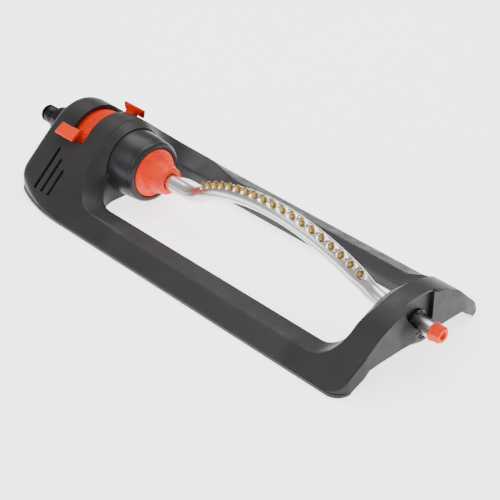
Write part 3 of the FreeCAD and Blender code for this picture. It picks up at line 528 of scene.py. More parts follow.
def half_frame(sheets):
    """The half of the base frame on the +Y side."""
    stations = rail_stations()
    foot_row = motor_row(MOTOR_SWEEP_Z - MOTOR_SWEEP)
    strip_motor = [foot_row * (1.0 - w) for w in STRIP]
    arch_foot = arch_rows()[0][0]
    strip_arch = [arch_foot * (1.0 - w) for w in STRIP]

    rows = [(row, MOTOR_FOOT_X) for row in reversed(strip_motor)] + motor_rows()[1:]
    hood, rear_ends = hood_grid(rows, lambda row: motor_profile(row, REAR), rear_point, motor_surface)
    sheets.add(hood)
    rows = [(row, ARCH_FOOT_X) for row in reversed(strip_arch)] + arch_rows()[1:]
    arch, front_ends = hood_grid(rows, arch_profile, front_point, arch_surface)
    sheets.add(arch, flip=True)

    strip_count = len(STRIP)
    rails = []
    for w, hood_row, arch_row in zip(reversed(STRIP), hood[:strip_count], arch[:strip_count]):
        line = []
        for x in stations:
            line.append((x,) + mix_point(crease(x), (HALF, LIP), w))
        line[0] = hood_row[-1]
        line[-1] = arch_row[-1]
        rails.append(line)
    rails[-1] = [sunk(p, GROOVE) for p in rails[-1]]
    hood[strip_count - 1][-1] = rails[-1][0]
    arch[strip_count - 1][-1] = rails[-1][-1]
    sheets.add(rails)

    creases = [row[-1] for row in reversed(hood[strip_count:])]
    creases += [sunk(p, -GROOVE) for p in rails[-1]]
    creases += [row[-1] for row in arch[strip_count:]]
    edge = window_edge(stations)
    sheets.add(shelf_rows(creases, edge), flip=True)
    sheets.add(inner_wall_rows(edge, stations), flip=True)

    tops, outlines = [], []
    for row, y in zip(reversed(hood), reversed(rear_ends)):
        tops.append(row[0])
        outlines.append(lambda inset, y=y: rear_point(y, inset))
    for point in hood[0][1:] + rails[0][1:] + list(reversed(arch[0]))[1:]:
        tops.append(point)
        outlines.append(lambda inset, x=point[0]: (x, HALF - inset))
    for row, y in zip(arch[1:], front_ends[1:]):
        if y < FOOT_END:
            break
        tops.append(row[0])
        share = smooth((y - FOOT_END) / 9.0)
        outlines.append(lambda inset, y=y, share=share: front_point(y, mix(0.5, inset, share)))
    sheets.add(lip_rows(tops, outlines), flip=True)


def arch_height(y):
    """Height of the end arch's surface this far from the centre plane."""
    tangent_y, tangent_z = arch_profile(1.0)
    if abs(y) <= tangent_y:
        return ARCH_CREST - ARCH_RADIUS + math.sqrt(ARCH_RADIUS ** 2 - y * y)
    return mix(tangent_z, LIP, (abs(y) - tangent_y) / (HALF - tangent_y))


def web_bottom(y):
    """Lower edge of the front web: level in the middle, sweeping down to the feet."""
    points = [(42.0, 15.6), (54.0, 14.9), (60.0, 9.4), (68.6, 3.3), (72.0, 0.0)]
    distance = abs(y)
    if distance <= points[0][0]:
        return points[0][1]
    for (y0, z0), (y1, z1) in zip(points[:-1], points[1:]):
        if distance <= y1:
            return mix(z0, z1, (distance - y0) / (y1 - y0))
    return 0.0


def bulge(reach):
    """Share of the swelling round the bearing at this distance from the tube axis."""
    return smooth((BULGE_REACH - reach) / 8.5)


def web_face(y, z):
    """Where the front of the web stands: near the edge at the feet, bulging round the bearing."""
    face = min(WEB_X, FRONT - y * y / FRONT_BOW - 0.5)
    top = AXIS + (9.0 if y < 0.0 else -3.0)
    return face + BULGE * bulge(math.hypot(y, min(z - AXIS, 0.0))) * smooth((top - z) / 9.0)


def alcove_edge(side, z):
    """Half width of the alcove: it closes in above the axis on the near side, below it on the far side."""
    if side < 0.0:
        return mix(SEAT, ALCOVE, smooth((z - AXIS - 1.0) / 15.0))
    return mix(SEAT, ALCOVE, smooth((z - AXIS + 12.0) / 6.0))


def front_web():
    """Front web of the end arch with the alcove for the tube end."""
    ys = [-73.5 + 2.45 * k for k in range(24)] + [-ALCOVE, -ALCOVE + 0.01]
    ys += [-14.0, -11.0, -8.0, -4.0, 0.0]
    ys += [-y for y in reversed(ys[:-1])]
    rows = 14
    front, back = [], []
    for y in ys:
        in_alcove = abs(y) < ALCOVE
        low = min(max(web_bottom(y), 0.0), arch_height(y) - 1.8)
        high = arch_height(y) - (1.0 if abs(y) > ALCOVE + 8.0 else 1.4)
        column = [(y, mix(low, high, k / rows)) for k in range(rows + 1)]
        if abs(y) <= ALCOVE + 0.001:
            column = [(y * alcove_edge(y, z) / ALCOVE, z) for y, z in column]
        front.append([(ALCOVE_X if in_alcove else web_face(y, z), y, z) for y, z in column])
        back.append([(ALCOVE_X - WEB_SKIN, y, z) for y, z in column])
    count = rows + 1
    vertices = [p for column in front + back for p in column]
    shift = len(ys) * count
    faces = []
    for i in range(len(ys) - 1):
        for j in range(rows):
            a = i * count + j
            faces.append((a, a + count, a + count + 1, a + 1))
            faces.append((shift + a, shift + a + 1, shift + a + count + 1, shift + a + count))
        low, high = i * count, i * count + rows
        faces.append((low, shift + low, shift + low + count, low + count))
        faces.append((high, high + count, shift + high + count, shift + high))
    last = (len(ys) - 1) * count
    for j in range(rows):
        faces.append((j, j + 1, shift + j + 1, shift + j))
        faces.append((last + j, shift + last + j, shift + last + j + 1, last + j + 1))
    return mesh_from("web", vertices, faces, weld=0.002)


def cradle():
    """Half round seat that carries the end bearing, flowing out into the web."""
    profile = [(ALCOVE_X - 3.0, 9.0), (214.2, 9.0), (214.2, 10.0), (214.7, 10.8)]
    for radius in (12.0, 13.0, 14.0, 15.0, 16.0, 17.0, 18.5, 20.0, BULGE_REACH):
        profile.append((WEB_X - 0.5 + BULGE * bulge(radius), radius))
    profile.append((ALCOVE_X - 3.0, BULGE_REACH))
    ring = revolve("cradle", profile, 96)
    x0, x1 = 150.0, 260.0
    cut(ring, box("upper", (x0, -60.0, AXIS + 0.5), (x1, 60.0, 120.0)))
    for low, high in ((-60.0, -10.6), (10.6, 60.0)):
        cut(ring, box("outside", (x0, low, -20.0), (x1, high, 120.0)))
    cut(ring, box("below", (x0, -60.0, -20.0), (x1, 60.0, 15.6)))
    return ring


def sector(name, inner, outer, half_angle, x0, x1, count=48):
    """A ring sector about the tube axis, centred straight up."""
    arc = [math.radians(mix(-half_angle, half_angle, k / count)) for k in range(count + 1)]
    outline = [(outer * math.sin(a), AXIS + outer * math.cos(a)) for a in arc]
    outline += [(inner * math.sin(a), AXIS + inner * math.cos(a)) for a in reversed(arc)]
    return prism(name, outline, x0, x1)


def slot_cutter(index):
    """One of the drain slots down the near flank, with round ends."""
    slope = math.radians(DRAIN_SLOPE)
    half_width, depth, low_y = 1.6, 6.0, -73.2
    low = (low_y, LIP + (HALF + low_y) * math.tan(slope))
    top = -(43.4 + 6.0 * index)
    high = (top, LIP + (HALF + top) * math.tan(slope))
    centre_x = -179.2 + 9.5 * index
    outline = []
    for (y, z), start in ((high, 0.0), (low, 180.0)):
        for k in range(7):
            angle = math.radians(start + 180.0 * k / 6.0)
            along = math.sin(angle) * half_width
            outline.append((centre_x + half_width * math.cos(angle), y + along * math.cos(slope),
                            z + along * math.sin(slope)))
    deep = (0.0, depth * math.sin(slope), -depth * math.cos(slope))
    vertices = [tuple(c - d for c, d in zip(p, deep)) for p in outline]
    vertices += [tuple(c + d for c, d in zip(p, deep)) for p in outline]
    return mesh_from("slot", vertices, stack_faces(2, len(outline)), weld=0.0001)


def baffle():
    """Wall under the drain slots, parallel to the flank."""
    slope = math.tan(math.radians(DRAIN_SLOPE))
    upper = [(-y, LIP + (HALF - y) * slope - 9.0) for y in (37.0, 72.5)]
    lower = [(-y, LIP + (HALF - y) * slope - 10.6) for y in (72.5, 37.0)]
    return prism("baffle", upper + lower, -190.0, -147.0)


def alcove_notch():
    """Cutter that opens the web in front of the alcove, above the tube axis."""
    heights = [AXIS + 3.0 + 1.5 * k for k in range(10)] + [90.0]
    outline = [(-alcove_edge(-1.0, z), z) for z in heights] + [(ALCOVE, 90.0), (ALCOVE, AXIS + 3.0)]
    return prism("notch", outline, 207.6, 230.0)


def bore_cutter(name, radius, x0, x1):
    """Cylinder on the tube axis."""
    return revolve(name, [(x0, 0.0), (x0, radius), (x1, radius), (x1, 0.0)], 64)


def base_frame():
    """The moulded frame: one half mirrored, thickened and cut."""
    sheets = Sheets()
    half_frame(sheets)
    count = len(sheets.vertices)
    sheets.vertices += [(x, -y, z) for x, y, z in sheets.vertices]
    sheets.faces += [tuple(i + count for i in reversed(face)) for face in sheets.faces]
    obj = mesh_from("base_frame_shell", sheets.vertices, sheets.faces, weld=0.03)
    top = max(obj.data.polygons, key=lambda face: face.center.z)
    if top.normal.z < 0.0:
        obj.data.flip_normals()
    thicken = obj.modifiers.new("wall", "SOLIDIFY")
    thicken.thickness = SKIN * MM
    thicken.offset = -1.0
    thicken.use_even_offset = True
    thicken.thickness_clamp = 1.0
    apply_modifiers(obj)
    cut(obj, front_web(), "UNION")
    cut(obj, cradle(), "UNION")
    cut(obj, bore_cutter("bearing_hole", 10.05, 190.0, 230.0))
    cut(obj, alcove_notch())
    slot_rear, slot_front, slot_angle = RING_SLOT
    cut(obj, sector("ring_slot", 20.0, 50.0, slot_angle, slot_rear, slot_front))
    for index in range(3):
        cut(obj, slot_cutter(index))
    join([obj, baffle()])
    cut(obj, bore_cutter("inlet_hole", 13.3, -230.0, -196.0))
    return shade(obj, 35.0)


# ---- motor, rings and connector

def motor_housing():
    """The motor barrel, tapering a little to the front."""
    profile = [(-195.0, 26.0), (-195.0, 28.0), (-158.1, 28.0), (-158.1, 31.0), (-157.9, 31.2)]
    profile += [(-126.0, 30.6), (-104.2, 28.75), (-104.0, 28.6), (-104.0, 27.8)]
    profile += [(-155.6, 27.8), (-155.6, 26.0)]
    obj = revolve("motor_housing_shell", profile, 160)
    return shade(obj, 40.0)


def motor_cap():
    """Front cap of the barrel with a rounded rim and a recess for the collar."""
    profile = [(-103.9, 27.8), (-103.9, 28.55), (-103.7, 28.7), (-103.0, 28.6)]
    for k in range(11):
        angle = math.radians(9.0 * k)
        profile.append((-102.9 + 4.5 * math.sin(angle), 24.9 + 3.6 * math.cos(angle)))
    profile += [(-98.4, 24.0), (-98.5, 23.5), (-98.9, 23.2), (-101.2, 23.1), (-101.2, 8.06)]
    profile += [(-107.0, 8.06), (-107.0, 11.0), (-103.9, 11.0), (-103.9, 20.0)]
    obj = revolve("motor_cap_shell", profile, 160)
    return shade(obj, 40.0)


def rib_depth(angle):
    """How far the outside of a range ring lies under its ribs' crests: rounded ribs."""
    phase = (angle * RIBS / (2.0 * math.pi)) % 1.0
    return 0.95 * (0.5 + 0.5 * math.cos(2.0 * math.pi * phase)) ** 0.9


def ring_band(name, x0, x1):
    """Ribbed band of a range ring with rounded rims."""
    count = RIBS * 8
    stations = [(x0 + 0.5, 0.0, 28.3), (x0, 0.0, 29.0), (x0, 0.0, 30.0), (x0 + 0.5, 0.85, 30.9)]
    stations += [(mix(x0 + 0.8, x1 - 0.8, k / 4.0), 1.0, RING_RADIUS) for k in range(5)]
    stations += [(x1 - 0.5, 0.85, 30.9), (x1, 0.0, 30.0), (x1, 0.0, 29.0), (x1 - 0.5, 0.0, 28.3)]
    vertices = []
    for i in range(count):
        angle = 2.0 * math.pi * i / count
        for x, share, radius in stations:
            r = radius - share * rib_depth(angle)
            vertices.append((x, r * math.sin(angle), AXIS + r * math.cos(angle)))
    return mesh_from(name, vertices, lathe_faces(count, len(stations)))


def rounded_outline(points, radius, steps=4):
    """A polygon with its corners cut by short arcs."""
    result = []
    count = len(points)
    for i in range(count):
        before, here, after = (Vector(points[(i + k - 1) % count]) for k in range(3))
        reach_a = (before - here).normalized() * min(radius, (before - here).length * 0.45)
        reach_b = (after - here).normalized() * min(radius, (after - here).length * 0.45)
        start, end = here + reach_a, here + reach_b
        for k in range(steps + 1):
            t = k / steps
            result.append(tuple((1 - t) ** 2 * start + 2 * t * (1 - t) * here + t * t * end))
    return result


def tab(name, wing_x0, wing_x1, stem_x0, stem_x1, flares):
    """Leaning tab of a range ring with a pocket in its front, on its stem, before the ring is rolled.

    flares says how far the top of the wing's rear and front end lean forward."""
    outer = [(5.9, 38.5), (5.5, 39.4), (-4.6, 44.4), (-5.9, 43.3), (-4.3, 40.6), (-1.2, 37.9)]
    hollow = [(4.4, 38.9), (-4.2, 43.0), (-4.5, 42.6), (-3.4, 40.7), (-0.5, 38.6)]
    post = [(0.2, 30.2), (5.6, 29.9), (5.6, 38.9), (0.2, 38.9)]
    section = rounded_outline(outer, 0.8)
    vertices = []
    for x, grow in ((wing_x0, 0.0), (wing_x0 + 0.5, 1.0), (wing_x1 - 0.4, 1.0), (wing_x1, 0.4)):
        flare = flares[0] if x < wing_x0 + 1.0 else flares[1]
        inward = 0.35 * (1.0 - grow) * 0.12
        for y, z in section:
            slide = flare * (z - 37.2) / 7.0
            vertices.append((x + slide, y * (1.0 - inward), z + AXIS - inward * (z - 40.0)))
    wing = mesh_from(name, vertices, stack_faces(4, len(section)), weld=0.0001)
    inside = [(y, z + AXIS) for y, z in rounded_outline(hollow, 0.7)]
    cut(wing, prism("pocket", inside, wing_x0 + 6.0, wing_x1 + 15.0))
    foot = [(y, z + AXIS) for y, z in rounded_outline(post, 0.5)]
    cut(wing, prism("stem", foot, stem_x0, stem_x1), "UNION")
    bevel(wing, 0.28, 2, 40.0)
    return wing


def roll(obj, degrees):
    """Turn a piece about the tube axis."""
    axis = Vector((0.0, 0.0, AXIS * MM))
    turn = Matrix.Rotation(math.radians(degrees), 4, "X")
    obj.data.transform(Matrix.Translation(axis) @ turn @ Matrix.Translation(-axis))


def join(objects):
    """Put the meshes of several objects into the first."""
    first = objects[0]
    bm = bmesh.new()
    for obj in objects:
        bm.from_mesh(obj.data)
    bm.to_mesh(first.data)
    bm.free()
    for obj in objects[1:]:
        bpy.data.objects.remove(obj)
    return first


def range_ring(name, x0, wing_x0, wing_x1, stem_x0, degrees, flares):
    """A range ring with its tab, rolled to where the tab rests."""
    band = ring_band(name, x0, x0 + 12.0)
    grip = tab("grip", wing_x0, wing_x1, stem_x0, x0 + 11.6, flares)
    ring = join([band, grip])
    roll(ring, degrees)
    return shade(ring, 38.0)


def hose_connector():
    """Quick-connect nipple with a seal groove and a waist, on a ribbed sleeve."""
    tip, wall = -254.5, REAR
    nipple = [(0.0, 5.2), (0.0, 7.2), (0.4, 7.9), (1.2, 8.4), (2.6, 8.4), (2.8, 8.1), (2.8, 6.9), (4.6, 6.9)]
    nipple += [(4.6, 8.1), (4.8, 8.4), (11.3, 8.4), (11.8, 8.1), (12.8, 7.1), (16.2, 7.0)]
    sleeve = [(17.2, 9.6), (17.8, 10.2), (19.6, 12.6), (20.6, 12.9)]
    flange = [(3.4, 12.9), (3.4, 14.6), (9.0, 14.6), (9.0, 9.4), (15.0, 9.4), (15.0, 5.2)]
    profile = [(tip + x, radius) for x, radius in nipple + sleeve]
    profile += [(wall + x, radius) for x, radius in flange]
    obj = revolve("hose_connector_body", profile, 96)
    for index in range(12):
        rib = box("rib", (tip + 21.2, -0.9, AXIS + 12.4), (wall - 0.4, 0.9, AXIS + 13.15))
        bevel(rib, 0.3, 2)
        roll(rib, 30.0 * index)
        cut(obj, rib, "UNION")
    return shade(obj, 35.0)


def housing_latch():
    """Small button at the rear of the hood."""
    low, high = AXIS + 24.0, AXIS + 30.6
    outline = rounded_outline([(-2.5, low), (2.5, low), (2.1, high), (-2.1, high)], 0.8)
    obj = prism("housing_latch_button", outline, -205.4, -200.9)
    bevel(obj, 0.5, 3)
    roll(obj, 13.0)
    return shade(obj, 40.0)


# ---- collar, tube, nozzles, bearing and plug

def tube_collar():
    """Collar with a dished flange, a boss with six flats and a round nose."""
    profile = [(-100.8, 5.5, 0), (-100.8, 22.1, 0), (-100.5, 22.4, 0), (-99.0, 22.4, 0), (-98.4, 22.0, 0)]
    profile += [(-98.5, 21.0, 0), (-99.0, 20.0, 0), (-99.2, 18.4, 0), (-98.9, 17.2, 0), (-98.2, 16.4, 0.1)]
    profile += [(-97.2, 16.0, 0.4), (-95.2, 15.9, 0.6), (-89.0, 15.6, 0.65), (-85.0, 15.0, 0.6)]
    profile += [(-83.2, 14.0, 0.35), (-82.6, 13.3, 0.12), (-82.0, 12.9, 0), (-80.4, 12.8, 0)]
    profile += [(-78.4, 12.6, 0), (-77.4, 12.1, 0), (-77.0, 11.3, 0), (-76.9, 8.6, 0), (-77.2, 7.9, 0)]
    profile += [(-78.2, 7.4, 0), (-82.0, 7.1, 0), (-95.0, 7.05, 0), (-95.0, 5.5, 0)]
    obj = shaped_revolve("tube_collar_body", profile, 180, 6, math.radians(14.0))
    return shade(obj, 45.0)


# the tube's bow: an arc that meets the straight ends in two bends
BOW_X = 62.2                # crest of the bow
BOW_RADIUS = 156.5
BOW_DROP = 116.3            # centre of the bow below the tube axis
BEND = 40.0                 # radius of the bends
TILT = 14.5                 # lean of the tube towards the near rail at rest, in degrees
TUBE_START, TUBE_END = -93.0, 223.0
NOZZLES = 19
PITCH = 3.71                # degrees along the bow from nozzle to nozzle
SPOT = 5.45                 # flat spot under each nozzle, above the tube's centreline
RUN = math.sqrt((BOW_RADIUS + BEND) ** 2 - (BOW_DROP + BEND) ** 2)
HALF_TURN = math.asin(RUN / (BOW_RADIUS + BEND))


def tube_stations():
    """Centreline (x, height, slope, degrees along the bow or None) from the collar to the plug."""
    leave, back = BOW_X - RUN, BOW_X + RUN
    stations = [(mix(TUBE_START, leave, k / 12), 0.0, 0.0, None) for k in range(13)]
    for k in range(1, 27):
        slope = HALF_TURN * (k / 26)
        stations.append((leave + BEND * math.sin(slope), BEND * (1 - math.cos(slope)), slope, None))
    for k in range(1, 301):
        slope = HALF_TURN * (1 - 2 * (k / 300))
        stations.append((BOW_X - BOW_RADIUS * math.sin(slope), BOW_RADIUS * math.cos(slope) - BOW_DROP,
                         slope, math.degrees(-slope)))
    for k in range(1, 27):
        slope = HALF_TURN * (1 - k / 26)
        stations.append((back - BEND * math.sin(slope), BEND * (1 - math.cos(slope)), -slope, None))
    stations += [(mix(back, TUBE_END, k / 14), 0.0, 0.0, None) for k in range(1, 15)]
    return stations


def tube_section(flatness, degrees, count=72):
    """Section (sideways, up): round at the ends, a little flattened with spot faces on the bow."""
    wide, high = mix(7.0, 7.9, flatness), mix(7.0, 6.65, flatness)
    points = []
    for k in range(count):
        angle = 2.0 * math.pi * k / count
        side, up = wide * math.sin(angle), high * math.cos(angle)
        if degrees is not None and up > 0.0:
            index = round(degrees / PITCH)
            if abs(index) <= (NOZZLES - 1) / 2:
                along = math.radians(degrees - index * PITCH) * (BOW_RADIUS + SPOT)
                reach = math.hypot(along, side)
                up = min(up, mix(SPOT, up, smooth((reach - 4.25) / 0.85)))
        points.append((side, up))
    return points


def place_tilted(x, side, height):
    """From the plane of the bow to the frame; side points away from the near rail."""
    cosine, sine = math.cos(math.radians(TILT)), math.sin(math.radians(TILT))
    return x, side * cosine - height * sine, AXIS + side * sine + height * cosine


def bore_ring(x, count):
    """Circle of the tube's bore at x."""
    turns = [2 * math.pi * k / count for k in range(count)]
    return [place_tilted(x, BORE * math.sin(turn), BORE * math.cos(turn)) for turn in turns]


def spray_tube():
    """The bent tube, bored a short way in at both ends."""
    rings = []
    for x, height, slope, degrees in tube_stations():
        fade = 0.0
        if degrees is not None:
            fade = smooth((math.degrees(HALF_TURN) - abs(degrees)) / 5.0)
        rings.append([place_tilted(x - up * math.sin(slope), side, height + up * math.cos(slope))
                      for side, up in tube_section(fade, degrees)])
    count = len(rings[0])
    loops = [bore_ring(x, count) for x in (TUBE_START + BORE, TUBE_START)] + rings
    loops += [bore_ring(x, count) for x in (TUBE_END, TUBE_END - BORE)]
    vertices = [p for ring in loops for p in ring]
    faces = sleeve_faces(len(loops), count)
    faces.append(tuple(range(count)))
    faces.append(tuple(range((len(loops) - 1) * count, len(loops) * count)))
    obj = mesh_from("spray_tube_body", vertices, faces, weld=0.0001)
    return shade(obj, 40.0)


def spray_nozzles():
    """Turned nozzles standing on the spot faces."""
    profile = [(-0.5, 0.0), (-0.5, 2.7), (1.2, 2.85), (1.7, 2.7), (2.1, 2.35), (2.9, 2.1), (4.0, 2.05)]
    profile += [(4.7, 1.85), (4.95, 1.5), (4.95, 0.85), (4.6, 0.7), (2.6, 0.62), (2.6, 0.0)]
    count = 28
    vertices, faces = [], []
    for index in range(NOZZLES):
        angle = math.radians((index - (NOZZLES - 1) / 2) * PITCH)
        cosine, sine = math.cos(angle), math.sin(angle)
        faces += sleeve_faces(len(profile), count, len(vertices))
        for up, radius in profile:
            height = BOW_RADIUS + (SPOT + up)
            for k in range(count):
                turn = 2.0 * math.pi * k / count
                along, side = radius * math.cos(turn), radius * math.sin(turn)
                vertices.append(place_tilted(BOW_X + height * sine + along * cosine, side,
                                             height * cosine - along * sine - BOW_DROP))
    obj = mesh_from("spray_nozzles_row", vertices, faces, weld=0.0001)
    return shade(obj, 38.0)


def end_bearing():
    """Bush in the end web with notches round its bore; its upper half is set back."""
    profile = [(197.5, 7.1), (197.5, 10.0), (213.6, 10.0), (213.9, 9.7), (213.9, 7.4), (213.6, 7.1)]
    obj = revolve("end_bearing_bush", profile, 96)
    for index in range(10):
        notch = box("notch", (190.0, -1.2, AXIS + 7.7), (220.0, 1.2, AXIS + 9.3))
        roll(notch, 36.0 * index + 8.0)
        cut(obj, notch)
    cut(obj, box("top", (207.2, -20.0, AXIS + 2.0), (230.0, 20.0, AXIS + 20.0)))
    return shade(obj, 35.0)


def end_plug():
    """Plug with a flange, a hexagonal head with a socket and a spigot that reaches into the tube."""
    flange = [(0.0, 6.0, 0), (0.0, 7.6, 0), (0.3, 7.9, 0), (1.7, 7.9, 0), (2.1, 7.6, 0), (2.4, 6.9, 0.5)]
    head = [(2.7, 7.1, 0.95), (3.4, 7.15, 1), (8.4, 7.1, 1), (9.2, 6.7, 0.7), (9.8, 5.8, 0.2)]
    socket = [(9.8, 3.7, 0), (9.5, 3.4, 0), (6.8, 3.2, 0), (6.8, 0.9, 0), (6.6, 0.0, 0)]
    spigot = [(-9.0, 0.0, 0), (-9.0, 5.8, 0), (0.0, 5.9, 0)]
    profile = [(TUBE_END + x, radius, share) for x, radius, share in flange + head + socket + spigot]
    obj = shaped_revolve("end_plug_body", profile, 144, 6, math.radians(10.0))
    return shade(obj, 40.0)


# ---- materials

def new_material(name):
    """A node material: material, nodes, links, shader and object coordinates."""
    material = bpy.data.materials.new(name)
    material.use_nodes = True
    nodes = material.node_tree.nodes
    shader = nodes["Principled BSDF"]
    coords = nodes.new("ShaderNodeTexCoord")
    return material, nodes, material.node_tree.links, shader, coords.outputs["Object"]


def noise(nodes, links, coords, scale, detail=3.0, stretch=None):
    """Noise value over the object; stretch scales the coordinates first."""
    if stretch:
        mapping = nodes.new("ShaderNodeMapping")
        mapping.inputs["Scale"].default_value = stretch
        links.new(coords, mapping.inputs["Vector"])
        coords = mapping.outputs["Vector"]
    texture = nodes.new("ShaderNodeTexNoise")
    texture.inputs["Scale"].default_value = scale
    texture.inputs["Detail"].default_value = detail
    links.new(coords, texture.inputs["Vector"])
    return texture.outputs["Fac"]


def ramp(nodes, links, value, stops):
    """Colour ramp with (position, colour) stops."""
    node = nodes.new("ShaderNodeValToRGB")
    elements = node.color_ramp.elements
    elements[0].position, elements[0].color = stops[0][0], (*stops[0][1], 1.0)
    elements[1].position, elements[1].color = stops[-1][0], (*stops[-1][1], 1.0)
    for position, colour in stops[1:-1]:
        elements.new(position).color = (*colour, 1.0)
    links.new(value, node.inputs["Fac"])
    return node.outputs["Color"]


def spread(nodes, links, value, low, high, start=0.3, end=0.7):
    """Value stretched from start..end to low..high."""
    node = nodes.new("ShaderNodeMapRange")
    node.inputs["From Min"].default_value = start
    node.inputs["From Max"].default_value = end
    node.inputs["To Min"].default_value = low
    node.inputs["To Max"].default_value = high
    links.new(value, node.inputs["Value"])
    return node.outputs["Result"]


def bump(nodes, links, value, shader, strength, distance):
    """Let this value raise the surface of the shader."""
    node = nodes.new("ShaderNodeBump")
    node.inputs["Strength"].default_value = strength
    node.inputs["Distance"].default_value = distance
    links.new(value, node.inputs["Height"])
    links.new(node.outputs["Normal"], shader.inputs["Normal"])


def shift(colour, factor):
    """The colour made lighter or darker."""
    return tuple(min(c * factor, 1.0) for c in colour)


def finish(name, colour, rough, grain, depth, metallic=0.0, variation=0.12, stretch=None):
    """Moulded or drawn surface: colour variation, uneven gloss and a fine grain."""
    material, nodes, links, shader, coords = new_material(name)
    broad = noise(nodes, links, coords, 22.0, 4.0)
    stops = [(0.3, shift(colour, 1.0 - variation)), (0.5, colour), (0.7, shift(colour, 1.0 + variation))]
    links.new(ramp(nodes, links, broad, stops), shader.inputs["Base Color"])
    wear = noise(nodes, links, coords, 90.0, 5.0, stretch)
    links.new(spread(nodes, links, wear, rough[0], rough[1]), shader.inputs["Roughness"])
    bump(nodes, links, noise(nodes, links, coords, grain, 2.0, stretch), shader, 0.5, depth)
    shader.inputs["Metallic"].default_value = metallic
    shader.inputs["IOR"].default_value = 1.46
    shader.inputs["Specular IOR Level"].default_value = 0.28
    return material


# colour, roughness range, grain scale, grain depth, metallic, colour variation, stretch of the grain
FINISHES = {
    "frame_plastic": ((0.0235, 0.022, 0.0225), (0.40, 0.54), 1900.0, 0.00005),
    "housing_plastic": ((0.019, 0.0195, 0.022), (0.28, 0.38), 1700.0, 0.00003),
    "black_plastic": ((0.004, 0.004, 0.0045), (0.3, 0.42), 1500.0, 0.00003),
    "orange_plastic": ((0.86, 0.032, 0.0004), (0.34, 0.46), 1300.0, 0.00002, 0.0, 0.05),
    "tube_aluminium": ((0.70, 0.68, 0.67), (0.24, 0.34), 700.0, 0.000008, 1.0, 0.04, (0.25, 1.0, 1.0)),
    "nozzle_brass": ((0.36, 0.23, 0.07), (0.32, 0.46), 900.0, 0.000008, 1.0, 0.1),
    "inner_plastic": ((0.72, 0.70, 0.64), (0.4, 0.55), 1100.0, 0.00002),
    "seal_rubber": ((0.02, 0.02, 0.02), (0.6, 0.75), 1600.0, 0.00004),
    "screw_steel": ((0.58, 0.57, 0.55), (0.22, 0.36), 700.0, 0.00002, 1.0, 0.08),
}
MATERIALS = {name: finish(name, *values) for name, values in FINISHES.items()}


# ---- assembly

def install(obj, body, slot, *nodes):
    """Give a finished piece its material and its body, and hide the CAD nodes it stands for."""
    obj.data.materials.clear()
    obj.data.materials.append(MATERIALS[slot])
    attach(obj, body)
    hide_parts(*nodes)


install(base_frame(), "base", "frame_plastic", "base_frame")
install(motor_housing(), "base", "housing_plastic", "motor_housing")
install(motor_cap(), "base", "housing_plastic", "motor_cap")
install(hose_connector(), "base", "black_plastic", "hose_connector")
install(housing_latch(), "base", "black_plastic", "housing_latch")
install(range_ring("range_ring_near_grip", -182.9, -190.0, -166.5, -177.8, 56.0, (0.0, 1.0)),
        "ring_near", "orange_plastic", "range_ring_near")
install(range_ring("range_ring_far_grip", -170.4, -170.2, -152.5, -170.0, -47.0, (-1.5, 8.0)),
        "ring_far", "orange_plastic", "range_ring_far")
install(tube_collar(), "tube", "orange_plastic", "tube_collar")
install(spray_tube(), "tube", "tube_aluminium", "spray_tube")
install(spray_nozzles(), "tube", "nozzle_brass", "spray_nozzles")
install(end_bearing(), "base", "housing_plastic", "end_bearing")
install(end_plug(), "plug", "orange_plastic", "end_plug")

node_slots = {part["node"]: part["material_slot"] for part in frame["record"]["subparts"]}
for node, obj in frame["nodes"].items():
    obj.data.materials.clear()
    obj.data.materials.append(MATERIALS[node_slots[node]])


# ---- floor, light and camera

def floor_material():
    """Plain pale floor that gives off a little light of its own."""
    material, nodes, links, shader, coords = new_material("floor")
    pale = ramp(nodes, links, noise(nodes, links, coords, 3.0), [(0.3, (0.93,) * 3), (0.7, (0.95,) * 3)])
    links.new(pale, shader.inputs["Base Color"])
    shader.inputs["Roughness"].default_value = 0.7
    shader.inputs["Emission Color"].default_value = (1.0, 1.0, 1.0, 1.0)
    shader.inputs["Emission Strength"].default_value = 2.4
    return material


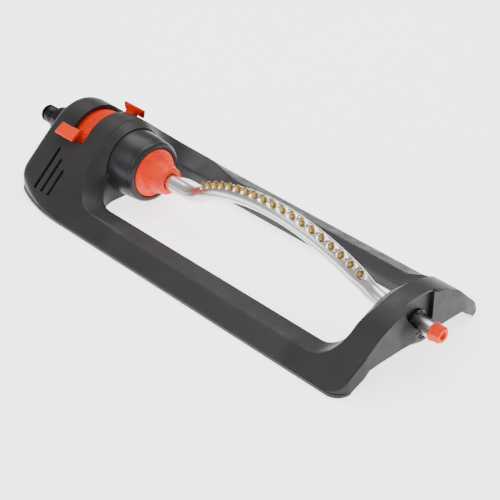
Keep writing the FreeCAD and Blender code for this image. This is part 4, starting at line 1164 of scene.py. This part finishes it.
def add_floor(half, z):
    """Square floor, half of its side given."""
    mesh = bpy.data.meshes.new("floor")
    corners = [(-half, -half, z), (half, -half, z), (half, half, z), (-half, half, z)]
    mesh.from_pydata(corners, [], [(0, 1, 2, 3)])
    mesh.materials.append(floor_material())
    link_mesh("floor", mesh)


def add_light(name, place, target, size, power):
    """White area light at place, facing target."""
    light = bpy.data.lights.new(name, "AREA")
    light.shape = "RECTANGLE"
    light.size, light.size_y = size
    light.energy = power
    obj = bpy.data.objects.new(name, light)
    bpy.context.scene.collection.objects.link(obj)
    obj.location = place
    direction = Vector(target) - Vector(place)
    obj.rotation_euler = direction.to_track_quat("-Z", "Y").to_euler()


def add_world(strength):
    """Even white surroundings."""
    world = bpy.data.worlds.new("world")
    bpy.context.scene.world = world
    world.use_nodes = True
    background = world.node_tree.nodes["Background"]
    background.inputs["Color"].default_value = (1.0, 1.0, 1.0, 1.0)
    background.inputs["Strength"].default_value = strength


def add_camera(place, azimuth, elevation, lens):
    """Camera looking down on the front from the near side, angles in degrees."""
    data = bpy.data.cameras.new("camera")
    data.lens = lens
    data.sensor_width = 36.0
    data.clip_start = 0.05
    camera = bpy.data.objects.new("camera", data)
    bpy.context.scene.collection.objects.link(camera)
    around, over = math.radians(azimuth), math.radians(elevation)
    right = Vector((math.cos(around), math.sin(around), 0.0))
    back = Vector((math.sin(around) * math.cos(over), -math.cos(around) * math.cos(over), math.sin(over)))
    turned = Matrix((right, back.cross(right), back)).transposed().to_4x4()
    camera.matrix_world = Matrix.Translation(place) @ turned
    bpy.context.scene.camera = camera


add_floor(6.0, -0.0002)
add_light("overhead", (-0.25, 0.55, 1.5), (0.0, 0.0, 0.0), (2.0, 1.2), 36.0)
add_light("key", (-0.3, -1.4, 1.2), (0.0, 0.0, 0.03), (1.2, 0.8), 8.0)
add_light("fill", (1.4, -0.5, 0.7), (0.1, 0.0, 0.03), (0.9, 0.7), 2.0)
add_world(0.5)
add_camera((0.7599, -0.7037, 0.6881), 46.3075, 33.6897, 104.47)
